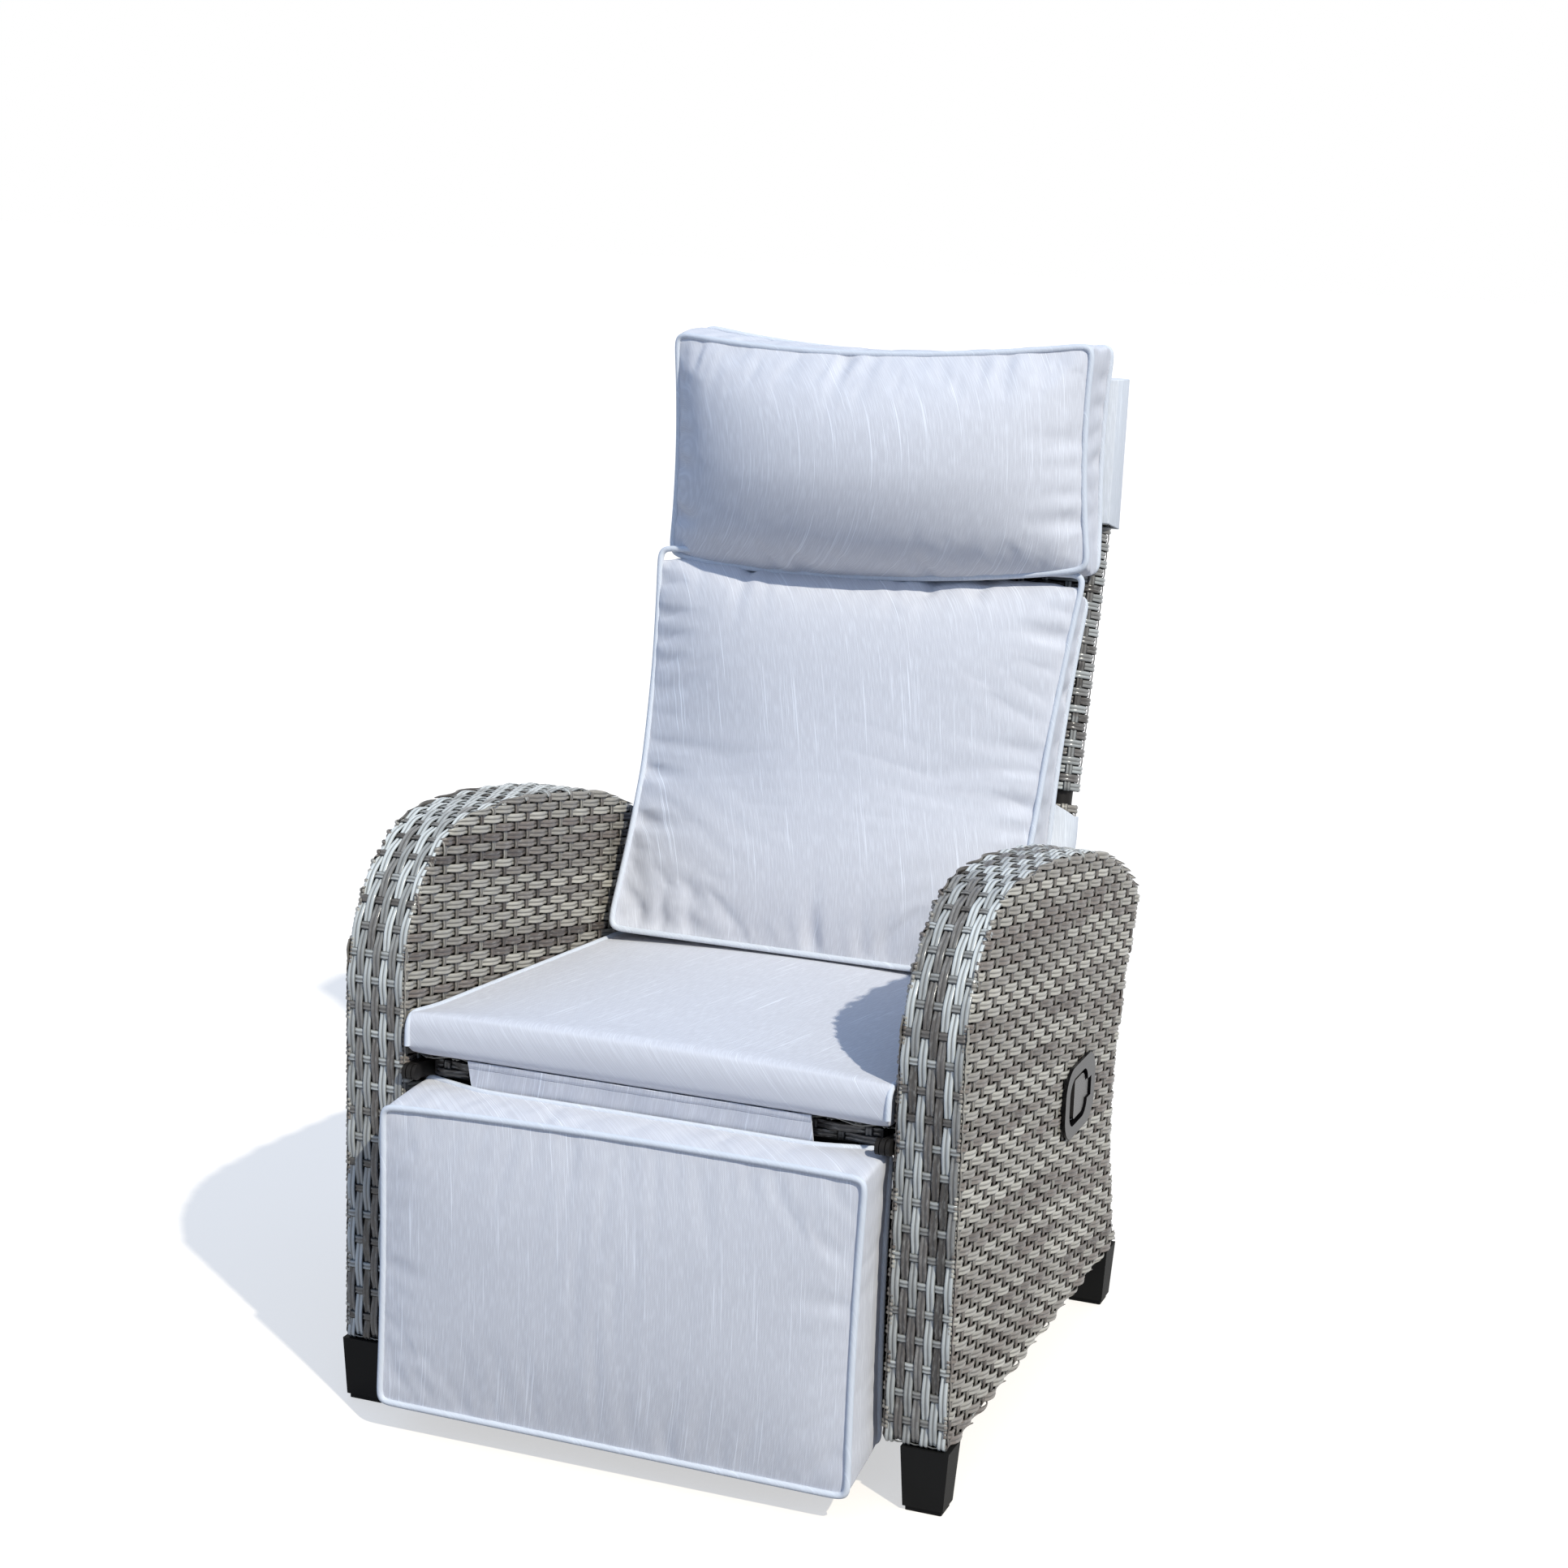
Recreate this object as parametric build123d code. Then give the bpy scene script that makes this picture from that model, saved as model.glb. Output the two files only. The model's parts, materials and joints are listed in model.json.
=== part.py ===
from build123d import *
from math import atan2, cos, degrees, pi, radians, sin, sqrt, tan
import os

# A reclining patio chair: two woven arms on tube frames, a seat between them, a back that leans back,
# and a leg rest that the back lifts through two push links. Millimetres, Z up, the sitter faces -Y.
# Every piece is first placed from the front plane of the arms (y = 0) and the floor (z = 0),
# and shifted at the end so that the origin is at the middle of the whole chair, on the floor.
# The sitter's left arm, at +X, holds the release handle.

# Overall sizes
chair_width = 670.0          # over both arms
arm_width = 72.0             # one arm, over its weave
arm_height = 611.0           # top of the arm above the floor
foot_height = 68.0           # underside of the arm above the floor
back_reach = 761.0           # hood of the back behind the arms' front plane
leg_reach = 75.0             # crown of the leg cushion in front of it

# Weave, tube and sheet
weave = 8.0                  # woven skin
loop_tube = 16.0             # tubes of the arm frames
rail = 25.0                  # square tubes of the seat and the base
wall = 1.5                   # wall of every tube
sheet = 4.0                  # steel plate of brackets
plate = 5.0                  # steel plate of levers
washer_gap = 1.0             # between two plates that turn on each other
touch = 0.3                  # a piece that rests on another body
run_gap = 0.05               # a shaft in its bore, each side
over = 5.0                   # overrun of a cut

# Arm outline, seen from the side
front_arc = 155.0            # radius of the arm's front top bend
crest_arc = 1267.0           # the gentle top behind it
crest_end = 438.0            # where the top starts to fall faster
fall_arc = 614.0
fall_turn = 26.0             # degrees of that last stretch
waist_arc = 380.0            # hollow rear edge
waist_depth = 584.0          # its narrowest place
waist_height = 250.0
corner_round = 25.0          # rear top corner
low_round = 6.0              # corners at the feet
frame_bend = 26.0            # bend of the frame tube at every corner
course = 38.8                # main courses of an arm's outer weave, four rows of cane each
course_fall = 10.0           # degrees that the rows drop to the rear
course_wide = 5.0
course_deep = 2.0

# Feet
foot_top = (50.0, 38.0)
foot_tip = (42.0, 32.0)
foot_edge = 2.0              # set in of the foot's tip and of the glide
glide = 5.0
foot_bolt = 6.0
foot_bolt_head = 11.0
foot_bolt_length = 44.0

# Seat frame
seat_fall = 5.0              # degrees that the seat drops to the rear
seat_deck = 391.0            # top of the seat weave at the arms' front plane
deck_front = 26.0
deck_back = 505.0
lip_tube = 16.0
lip_front = 30.0
lip_gap = 19.0               # from the lip's ends to the arms
lip_tie_in = 44.0            # from the lip's ends to the two short ties behind it
front_rail_at = 62.0
rear_rail_at = 475.0
apron_height = 17.5
base_front_at = 100.0
base_rear_in = 39.0          # front of the rear base tube, from the arm's narrowest place
base_height = 84.0
strut_tube_at = 160.0
strut_tube_height = 187.5
bolt = 8.0
bolt_head = 14.0
bolt_head_height = 5.0
bolt_bite = 9.0              # into the arm's tube

# Back: everything above the pivot leans back, and the head part is bent more upright
lean = 14.2
head_lean = 3.0
pivot_y = 576.0
pivot_z = 334.0
frame_behind = 11.0          # middle of the back frame behind the pivot
frame_below = 20.0           # side tubes below the pivot's height
back_gap = 8.0               # beside the back, up to the arms
back_thick = 44.0
back_foot = 18.0             # lower end of the back weave above the pivot
head_bend = 570.0            # from the pivot up to the bend
head_rise = 164.0            # from the bend to the top
notch_at = 249.0             # gap between lower and upper weave, above the pivot
notch = 24.0
hinge_round = 16.0           # radius of a hinge plate round its pin
hinge_pin = 10.0
lever_reach = 107.8          # pivot to the push link's pin
lever_angle = 32.0           # behind straight down
lever_width = 26.0
link_pin = 7.0

# Leg rest
leg_pivot_z = 373.0
leg_pin = (50.0, -46.0)      # push link's pin from the leg pivot
leg_frame_at = 46.0          # middle of its tubes
leg_frame_low = 66.0
leg_frame_high = 300.0
leg_tube = 16.0
neck = 16.0                  # width of the bent hinge plates
leg_weave = 6.0

# Push links and strut
link_height = 14.0
link_thick = 6.0
link_slot = (11.6, 19.4)     # open end of a link: length and height
link_wall = 3.0              # steel round that slot
strut_pin_y = 200.0
strut_pin_z = 200.0
strut_lever = 60.0
strut_angle = 20.0
strut_pin = 8.0
strut_tube = 22.0
strut_bore = 17.0
strut_body = 215.0
strut_cap = 12.0
strut_rod = 8.0
strut_eye = 20.0             # diameter of both eyes
strut_eye_thick = 16.0
strut_slot = (9.8, 15.8)
release_head = (18.0, 26.0)  # size across and length
ear_gap = 1.0                # beside an eye

# Cushions
seat_thick = 48.0
seat_crown = 6.0
seat_front = -6.0
seat_back = 545.0
seat_gap = 1.0               # beside the seat cushion
nose = 15.0                  # radius of the waterfall front
draw = 4.0                   # how far a cushion's sides pull in
leg_gap = 6.5                # beside the leg cushion
leg_low = 49.0
leg_rise = 311.0             # height of the leg cushion
leg_front = -62.0
leg_back = 31.7
leg_round = 12.0
flap_gap_right = 69.0        # from the flap's two edges to the arms
flap_gap_left = 85.0
flap_thick = 3.0
flap_front = 4.0
flap_low = 362.0
cushion_gap = 13.0           # from the back's edge to its cushion's side
cushion_rise = 420.0         # back cushion along the lean
cushion_waist = 168.0        # where it is thinnest
cushion_foot = 103.0         # its thickness at the seat, the waist and the top
cushion_mid = 67.0
cushion_top = 75.0
back_crown = 26.0
seam_share = 0.25            # part of the back cushion's bulge that its side seams keep
cushion_round = 14.0
head_low = 825.0
head_high = 1092.0
head_gap = 3.0               # from the back's edge to the head cushion's side
head_front = 600.0           # front seam at its lower edge
head_tilt = 3.6
head_crown = 30.0
head_sag = 12.0              # its top edge hangs between the corners
hood_cloth = 3.0
strap_below = 13.0           # under the gap in the back's weave
strap_wide = 56.0
strap_cloth = 2.0

# Release handle in the left arm
handle_y = 412.0
handle_z = 312.0
plate_long = 116.0
plate_high = 80.0
plate_round = 30.0
plate_proud = 4.0
cup_long = 84.0
cup_high = 54.0
cup_round = 18.0
cup_deep = 24.0
cup_wall = 2.5
mouth_long = 70.0            # the opening in the plate, without its slot
paddle_long = 42.0
paddle_high = 44.0
paddle_round = 14.0
paddle_thick = 4.0
paddle_set = 2.0             # below the plate's face
paddle_rear_gap = 4.5        # lets its rear edge swing past the plate
tab_high = 20.0
handle_gap = 1.0
handle_pin = 3.0
knuckle = 7.0
knuckle_in = 9.0             # pin's middle below the plate's face
knuckle_back = 6.0           # pin's middle from the cup's rear wall
ear = 4.5
ear_half = 12.5
spring_wire = 0.8
spring_pitch = 1.3
spring_turns = 3
spring_radius = 2.4
cable = 5.0
cable_z = 300.0
cable_runs = ((222.0, 412.0, 300.0), (158.0, 370.0, 288.0), (104.0, 314.0, 260.0), (62.0, 260.0, 228.0),
              (32.0, 227.0, 206.0))     # corners of its path under the seat
cable_end = (221.0, 204.0)              # where it meets the release head
cable_end_gap = 0.6
cable_bend_share = 0.45                 # part of the shorter run that each bend takes

# Worked out from the sizes above
arm_face = chair_width / 2
arm_inner = arm_face - arm_width
back_half = arm_inner - back_gap
lip_half = arm_inner - lip_gap
seat_half = arm_inner - seat_gap
leg_half = arm_inner - leg_gap
leg_high = leg_low + leg_rise
cushion_half = back_half - cushion_gap
head_half = back_half - head_gap
strap_low = notch_at - strap_below - strap_wide
shift_y = (leg_reach - back_reach) / 2
lever_x = back_half - weave           # inner face of the back's lever plates
leg_plate_x = arm_inner - sheet - washer_gap - plate
link_x = lever_x - washer_gap - link_thick
leg_tube_x = leg_plate_x - leg_tube / 2
panel_half = back_half - back_thick / 2
half_thick = back_thick / 2
edge_tube = back_thick - 2 * weave
back_top = head_bend + head_rise
lever_turn = radians(lever_angle)
link_rear = (pivot_y + lever_reach * sin(lever_turn), pivot_z - lever_reach * cos(lever_turn))
link_front = (leg_pin[0], leg_pivot_z + leg_pin[1])
strut_turn = radians(strut_angle)
strut_rear = (pivot_y + strut_lever * sin(strut_turn), pivot_z - strut_lever * cos(strut_turn))
plate_face = arm_face + plate_proud
pin_y = handle_y + cup_long / 2 - knuckle_back
pin_x = plate_face - knuckle_in


# Helpers
def deck_top(y):
    """Height of the seat weave's top at a place along the seat."""
    return seat_deck - y * tan(radians(seat_fall))


def side_view(face, x_from, x_to):
    """A flat face drawn as (y, z), given its thickness along X."""
    return extrude(Plane.YZ.offset(x_from) * face, x_to - x_from)


def front_view(face, y_from, y_to):
    """A flat face drawn as (x, z), given its depth along Y."""
    return extrude(Plane.XZ.offset(-y_to) * face, y_to - y_from)


def block(x_from, x_to, y_from, y_to, z_from, z_to):
    size = Box(x_to - x_from, y_to - y_from, z_to - z_from, align=(Align.MIN, Align.MIN, Align.MIN))
    return Pos(x_from, y_from, z_from) * size


def rod_x(y, z, diameter, x_from, x_to):
    return side_view(Pos(y, z) * Circle(diameter / 2), x_from, x_to)


def upright(x, y, diameter, z_from, z_to):
    """A round pin or hole along Z."""
    body = Cylinder(diameter / 2, z_to - z_from, align=(Align.CENTER, Align.CENTER, Align.MIN))
    return Pos(x, y, z_from) * body


def tube_x(half, y, z, size):
    """A square tube across the chair; y and z are its low corner."""
    outer = block(-half, half, y, y + size, z, z + size)
    return outer - block(-half - over, half + over, y + wall, y + size - wall, z + wall, z + size - wall)


def polygon(*points):
    return make_face(Polyline(*points, close=True))


def bar_face(start, end, width):
    """A bar with round ends between two points of the side view."""
    length = sqrt((end[0] - start[0]) ** 2 + (end[1] - start[1]) ** 2)
    turn = degrees(atan2(end[1] - start[1], end[0] - start[0]))
    middle = Pos((start[0] + end[0]) / 2, (start[1] + end[1]) / 2) * Rot(0, 0, turn)
    return middle * Rectangle(length, width) + Pos(*start) * Circle(width / 2) + Pos(*end) * Circle(width / 2)


def both(*pieces):
    """The pieces and their mirror images across the chair's middle."""
    return list(pieces) + [mirror(piece, about=Plane.YZ) for piece in pieces]


def write(name, *pieces):
    """One file for each named sub-part, moved to the chair's own origin."""
    solids = []
    for piece in pieces:
        solids += piece.solids()
    moved = [Pos(0, shift_y, 0) * solid for solid in solids]
    shape = moved[0] if len(moved) == 1 else Compound(children=moved)
    shape.label = name
    export_step(shape, "parts/" + name + ".step")


def write_pair(name, *pieces):
    """A left and a right sub-part, the right one mirrored."""
    write(name + "_left", *pieces)
    write(name + "_right", *[mirror(piece, about=Plane.YZ) for piece in pieces])


# Arms
def arm_outline(inset, bend, low_bend):
    """Side view of an arm, drawn in by inset, with its three corners rounded."""
    top = arm_height - front_arc
    crest_turn = degrees(atan2(crest_end - front_arc, sqrt(crest_arc ** 2 - (crest_end - front_arc) ** 2)))
    way = radians(90 - crest_turn)
    rise = Line((0, foot_height), (0, top))
    bow = CenterArc((front_arc, top), front_arc, 180, -90)
    crest = CenterArc((front_arc, arm_height - crest_arc), crest_arc, 90, -crest_turn)
    joint = crest @ 1
    centre = (joint.X - fall_arc * cos(way), joint.Y - fall_arc * sin(way))
    fall = CenterArc(centre, fall_arc, 90 - crest_turn, -fall_turn)
    tail = fall @ 1
    drop = Line(tail, (tail.X, foot_height))
    base = Line((tail.X, foot_height), (0, foot_height))
    face = make_face([rise, bow, crest, fall, drop, base])
    face -= Pos(waist_depth + waist_arc, waist_height) * Circle(waist_arc)
    face = face.faces().sort_by(SortBy.AREA)[-1]
    if inset > 0:
        face = offset(face, -inset, kind=Kind.INTERSECTION).faces()[0]
    low = face.vertices().sort_by(Axis.Y)[:2]
    face = fillet(low, low_bend).faces()[0]
    high = [corner for corner in face.vertices().sort_by(Axis.X) if corner.Y > waist_height]
    return fillet(high[-1:], bend).faces()[0]


def arm_band():
    """The woven band that runs round the arm between its side panels."""
    ring = arm_outline(0, corner_round, low_round) - arm_outline(weave, corner_round - weave, low_round)
    band = side_view(ring, arm_inner + weave, arm_face - weave)
    for front in (True, False):
        x, y = foot_middle(front)
        band -= upright(x, y, foot_bolt + 2 * run_gap, foot_height - over, foot_height + weave + over)
    return band


def frame_loop(x):
    """One bent tube loop of the arm frame."""
    path = arm_outline(weave + loop_tube / 2, frame_bend, frame_bend).outer_wire()
    path = Plane.YZ.offset(x) * path
    ring = Circle(loop_tube / 2) - Circle(loop_tube / 2 - wall)
    return sweep(Plane(origin=path @ 0, z_dir=path % 0) * ring, path=path)


def bolt_rail():
    """The tube inside the arm that the seat's side rail bolts to."""
    front = weave + loop_tube + touch
    back = waist_depth - weave - loop_tube - touch
    low = weave + rail / 2 + loop_tube / 2
    high = low - loop_tube
    face = polygon(
        (front, deck_top(front) - low), (back, deck_top(back) - low),
        (back, deck_top(back) - high), (front, deck_top(front) - high))
    return side_view(face, arm_inner + weave, arm_inner + weave + loop_tube)


def arm_frame():
    """Two tube loops, their cross ties and the rail that the seat bolts to."""
    near = arm_inner + weave + loop_tube / 2
    far = arm_face - weave - loop_tube / 2
    middle = weave + loop_tube / 2
    size = loop_tube - 2 * wall
    reach = loop_tube / 2 - wall
    frame = frame_loop(near) + frame_loop(far)
    for y, z in ((middle, seat_deck), (middle, foot_height + 3 * rail), (waist_depth - middle, waist_height)):
        tie = rod_x(y, z, size, near + reach, far - reach)
        frame += tie - rod_x(y, z, size - 2 * wall, near, far)
    return [frame, bolt_rail() - seat_holes()]


# Feet
def arm_tail():
    """How far back an arm's top reaches, before its rear edge drops."""
    turn = atan2(crest_end - front_arc, sqrt(crest_arc ** 2 - (crest_end - front_arc) ** 2))
    return crest_end + fall_arc * (sin(turn + radians(fall_turn)) - sin(turn))


def rear_foot_end():
    """Rear face of the rear foot, where the hollow rear edge meets the underside."""
    rise = waist_height - foot_height
    hollow = waist_depth + waist_arc - sqrt(waist_arc ** 2 - rise ** 2)
    return min(hollow, arm_tail()) - low_round


def foot_middle(front):
    end = foot_edge + foot_tip[1] / 2
    return (arm_face - foot_top[0] / 2, end if front else rear_foot_end() - end)


def foot(front):
    """A tapered foot, flush with the arm's outer face and its end, bored for its bolt."""
    end, way = (0, 1) if front else (rear_foot_end(), -1)
    side = (foot_top[0] - foot_tip[0]) / 2
    x_in, x_out = arm_face - foot_top[0], arm_face
    y_far = end + way * foot_top[1]
    tip_y, tip_far = end + way * foot_edge, end + way * (foot_edge + foot_tip[1])
    upper = polygon((x_in, end), (x_out, end), (x_out, y_far), (x_in, y_far))
    x_low, x_high = x_in + side, x_out - side
    lower = polygon((x_low, tip_y), (x_high, tip_y), (x_high, tip_far), (x_low, tip_far))
    body = loft([(Pos(0, 0, glide) * lower).face(), (Pos(0, 0, foot_height) * upper).face()], ruled=True)
    x, y = foot_middle(front)
    seat = foot_height + weave - foot_bolt_length + foot_bolt
    bore = upright(x, y, foot_bolt + 2 * run_gap, seat - over, foot_height + over)
    return body - bore - upright(x, y, foot_bolt_head + 2 * run_gap, 0, seat)


def foot_glide(front):
    x, y = foot_middle(front)
    pad = Box(foot_tip[0] - 2 * foot_edge, foot_tip[1] - 2 * foot_edge, glide)
    return Pos(x, y, glide / 2) * fillet(pad.edges().filter_by(Axis.Z), foot_edge)


def foot_screw(front):
    """The bolt that holds the foot, up through it into the arm."""
    x, y = foot_middle(front)
    seat = foot_height + weave - foot_bolt_length + foot_bolt
    head = upright(x, y, foot_bolt_head, seat - foot_bolt, seat)
    return head + upright(x, y, foot_bolt, seat, foot_height + weave)


# Seat and base
def seat_bolt_places():
    places = []
    for y in (front_rail_at + 3 * rail, rear_rail_at - rail):
        places.append((y, deck_top(y) - weave - rail / 2))
    return places


def seat_holes():
    holes = [rod_x(y, z, bolt + 2 * run_gap, arm_inner - rail - over, arm_inner + weave + bolt_bite)
             for y, z in seat_bolt_places()]
    return holes[0] + holes[1]


def seat_bolts():
    """Bolts through the seat's side rails into the arms."""
    bolts = []
    for y, z in seat_bolt_places():
        shank = rod_x(y, z, bolt, arm_inner - rail, arm_inner + weave + bolt_bite)
        bolts.append(shank + rod_x(y, z, bolt_head, arm_inner - rail - bolt_head_height, arm_inner - rail))
    return bolts


def side_rail():
    """Side rail of the seat against an arm, along the seat's slope."""
    front, back = front_rail_at + rail, rear_rail_at
    high = (deck_top(front) - weave, deck_top(back) - weave)
    face = polygon((front, high[0]), (back, high[1]), (back, high[1] - rail), (front, high[0] - rail))
    core = polygon(
        (front - over, high[0] - wall), (back + over, high[1] - wall),
        (back + over, high[1] - rail + wall), (front - over, high[0] - rail + wall))
    tube = side_view(face, arm_inner - rail, arm_inner)
    return tube - side_view(core, arm_inner - rail + wall, arm_inner - wall) - seat_holes()


def cross_rail(y):
    return tube_x(arm_inner, y, deck_top(y + rail) - weave - rail, rail)


def seat_lip():
    """The front lip that carries the seat's edge between the leg rest's hinge plates."""
    low = deck_top(front_rail_at) - weave - lip_tube
    lip = tube_x(lip_half, lip_front, low, lip_tube)
    tie_at = lip_half - lip_tie_in
    tie = block(tie_at, tie_at + lip_tube, lip_front + lip_tube, front_rail_at, low, low + lip_tube)
    return [lip] + both(tie)


def seat_weave():
    """The woven deck under the seat cushion."""
    face = polygon(
        (deck_front, deck_top(deck_front)), (deck_back, deck_top(deck_back)),
        (deck_back, deck_top(deck_back) - weave), (deck_front, deck_top(deck_front) - weave))
    return side_view(face, -arm_inner, arm_inner)


def seat_apron():
    """The woven edge that hangs in front of the lip."""
    top = deck_top(lip_front) - weave
    return block(-lip_half, lip_half, deck_front, lip_front, top - apron_height, top)


# Hinges between the frame and its moving parts
def back_bracket():
    foot_end = (pivot_y - hinge_round, pivot_z - 2 * hinge_round)
    face = bar_face((pivot_y, pivot_z), foot_end, 2 * hinge_round)
    hole = rod_x(pivot_y, pivot_z, hinge_pin + 2 * run_gap, arm_inner - sheet - over, arm_inner + over)
    return side_view(face, arm_inner - sheet, arm_inner) - hole


def back_stud():
    """Shoulder stud on the back's lever plate, turning in the bracket."""
    shoulder = rod_x(pivot_y, pivot_z, hinge_round, lever_x + plate, arm_inner - sheet - touch)
    return shoulder + rod_x(pivot_y, pivot_z, hinge_pin, lever_x + plate, arm_inner - touch)


def leg_bracket():
    rear = (front_rail_at, leg_pivot_z - neck / 2)
    face = bar_face((0, leg_pivot_z), rear, neck)
    face -= Pos(front_rail_at + neck / 2, leg_pivot_z) * Rectangle(neck, 2 * neck)
    hole = rod_x(0, leg_pivot_z, hinge_pin, arm_inner - sheet - over, arm_inner + over)
    return side_view(face, arm_inner - sheet, arm_inner) - hole


def leg_bolt():
    """Pivot bolt held in the bracket, with its nut inside the leg rest's hinge plate."""
    inner = leg_plate_x - washer_gap
    nut = rod_x(0, leg_pivot_z, neck, inner - sheet, inner)
    return nut + rod_x(0, leg_pivot_z, hinge_pin, inner, arm_inner)


# Back
def back_line(u, out):
    """Side view point of the back: u up from the pivot's height, out behind the frame's middle line."""
    low, high = radians(lean), radians(head_lean)
    base = (pivot_y + frame_behind, pivot_z)
    if u <= head_bend:
        return (base[0] + u * sin(low) + out * cos(low), base[1] + u * cos(low) - out * sin(low))
    knee = (base[0] + head_bend * sin(low), base[1] + head_bend * cos(low))
    more = u - head_bend
    return (knee[0] + more * sin(high) + out * cos(high), knee[1] + more * cos(high) - out * sin(high))


def knee_point(out):
    """Where a layer of the back, out from the middle line, turns at the head bend."""
    knee = back_line(head_bend, 0)
    middle = radians((lean + head_lean) / 2)
    reach = out / cos(radians((lean - head_lean) / 2))
    return (knee[0] + reach * cos(middle), knee[1] - reach * sin(middle))


def back_layer(u_from, u_to, out_from, out_to):
    """Side view of one layer of the back between two heights."""
    turns = u_from < head_bend < u_to
    points = [back_line(u_from, out_from)]
    points += [knee_point(out_from)] if turns else []
    points += [back_line(u_to, out_from), back_line(u_to, out_to)]
    points += [knee_point(out_to)] if turns else []
    points.append(back_line(u_from, out_to))
    return polygon(*points)


def woven_panel(out_from, out_to):
    """Lower and upper woven panel of one face of the back, with the gap between them."""
    return [side_view(back_layer(u_from, u_to, out_from, out_to), -panel_half, panel_half)
            for u_from, u_to in ((back_foot, notch_at), (notch_at + notch, back_top))]


def along_back(section, u_from, u_to, angle):
    """A section over the left side tube, extruded along a straight stretch of the back."""
    way = (0, sin(radians(angle)), cos(radians(angle)))
    plane = Plane(origin=(panel_half, *back_line(u_from, 0)), x_dir=(1, 0, 0), z_dir=way)
    return extrude(plane * section, u_to - u_from)


def edge_weave():
    """The woven wrap round the left side tube of the back."""
    half = Circle(half_thick) & Pos(half_thick / 2, 0) * Rectangle(half_thick, back_thick)
    ring = half - Circle(edge_tube / 2)
    slack = half_thick * tan(radians((lean - head_lean) / 2))
    lower = along_back(ring, back_foot, notch_at, lean)
    upper = along_back(ring, notch_at + notch, head_bend - slack, lean)
    head = along_back(ring, head_bend + slack, back_top, head_lean)
    return [lower, upper, head]


def back_frame():
    """Side tubes and three cross tubes of the back, welded into one frame."""
    slack = edge_tube / 2 * tan(radians((lean - head_lean) / 2))
    round_tube = Circle(edge_tube / 2) - Circle(edge_tube / 2 - wall)
    side = along_back(round_tube, -frame_below, head_bend - slack, lean)
    side += along_back(round_tube, head_bend + slack, back_top - weave, head_lean)
    side += Pos(panel_half, *back_line(head_bend, 0)) * Sphere(edge_tube / 2)
    frame = side + mirror(side, about=Plane.YZ)
    reach = panel_half - edge_tube / 2 + 2 * wall
    for u in (0, notch_at + notch / 2, back_top - edge_tube):
        y, z = back_line(u, 0)
        size = edge_tube - 2 * wall
        frame += rod_x(y, z, size, -reach, reach) - rod_x(y, z, size - 2 * wall, -reach - over, reach + over)
    return frame


def lever_plate():
    """Plate on the outside of a side tube that carries the push link's pin."""
    face = bar_face((pivot_y, pivot_z), link_rear, lever_width) + Pos(pivot_y, pivot_z) * Circle(hinge_round)
    face += bar_face((pivot_y, pivot_z), back_line(-frame_below / 2, 0), 2 * hinge_round)
    return side_view(face, lever_x, lever_x + plate)


def link_rear_pin():
    return rod_x(*link_rear, link_pin, link_x - sheet, lever_x)


def strut_cheek():
    """One cheek of the lever under the back's low cross tube that works the strut."""
    inner = strut_eye_thick / 2 + ear_gap
    tube = back_line(0, 0)
    face = bar_face(tube, strut_rear, strut_eye) - Pos(*tube) * Circle(edge_tube / 2 - wall)
    return side_view(face, inner, inner + sheet) - rod_x(*strut_rear, strut_pin, 0, 2 * strut_eye)


def strut_rear_pin():
    half = strut_eye_thick / 2 + ear_gap + sheet
    return rod_x(*strut_rear, strut_pin, -half - ear_gap, half + ear_gap)


# Leg rest
def leg_frame():
    """Side tubes and three cross tubes of the leg rest."""
    pieces = []
    for x in (leg_tube_x, -leg_tube_x):
        tube = upright(x, leg_frame_at, leg_tube, leg_frame_low, leg_frame_high)
        pieces.append(tube)
    frame = pieces[0] + pieces[1]
    low, high = leg_frame_low + leg_tube / 2, leg_frame_high - leg_tube / 2
    for z in (low, (low + high) / 2, high):
        frame += rod_x(leg_frame_at, z, leg_tube - 2 * wall, -leg_tube_x, leg_tube_x)
    return frame


def leg_plate():
    """Bent plate from the side tube up to the pivot, above the cushion's rear edge."""
    low = leg_frame_high - 2 * leg_tube
    bend = (leg_frame_at, leg_pivot_z - neck / 2 + touch)
    face = bar_face((leg_frame_at, low), bend, neck) + bar_face(bend, (0, leg_pivot_z), neck)
    face += bar_face((leg_frame_at, link_front[1]), link_front, neck)
    hole = rod_x(0, leg_pivot_z, hinge_pin + 2 * run_gap, 0, arm_inner)
    return side_view(face, leg_plate_x, leg_plate_x + plate) - hole


def link_front_pin():
    return rod_x(*link_front, link_pin, link_x - sheet, leg_plate_x)


def leg_panel():
    """The woven panel that the leg cushion rests on."""
    front = leg_frame_at - leg_tube / 2 - leg_weave
    return block(-leg_plate_x, leg_plate_x, front, front + leg_weave, leg_frame_low, leg_frame_high)


# Push link and strut
def push_link():
    """Bar between the back's lever and the leg rest, with a long slot at its front end."""
    face = bar_face(link_rear, link_front, link_height)
    face += Pos(*link_rear) * Circle(link_height * 2 / 3)
    turn = degrees(atan2(link_rear[1] - link_front[1], link_rear[0] - link_front[0]))
    place = Pos(*link_front) * Rot(0, 0, turn)
    long, high = link_slot
    bend = long / 2 + link_wall - run_gap
    face += place * RectangleRounded(long + 2 * link_wall, high + 2 * link_wall, bend)
    face -= Pos(*link_rear) * Circle(link_pin / 2 + run_gap)
    face -= place * RectangleRounded(long, high, long / 2 - run_gap)
    return side_view(face, link_x, link_x + link_thick)


def on_strut(piece):
    """A piece drawn along +X from the front pin, laid along the strut."""
    rise = degrees(atan2(strut_rear[1] - strut_pin_z, strut_rear[0] - strut_pin_y))
    return Pos(0, strut_pin_y, strut_pin_z) * Rot(rise, 0, 0) * Rot(0, 0, 90) * piece


strut_length = sqrt((strut_rear[0] - strut_pin_y) ** 2 + (strut_rear[1] - strut_pin_z) ** 2)


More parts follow.
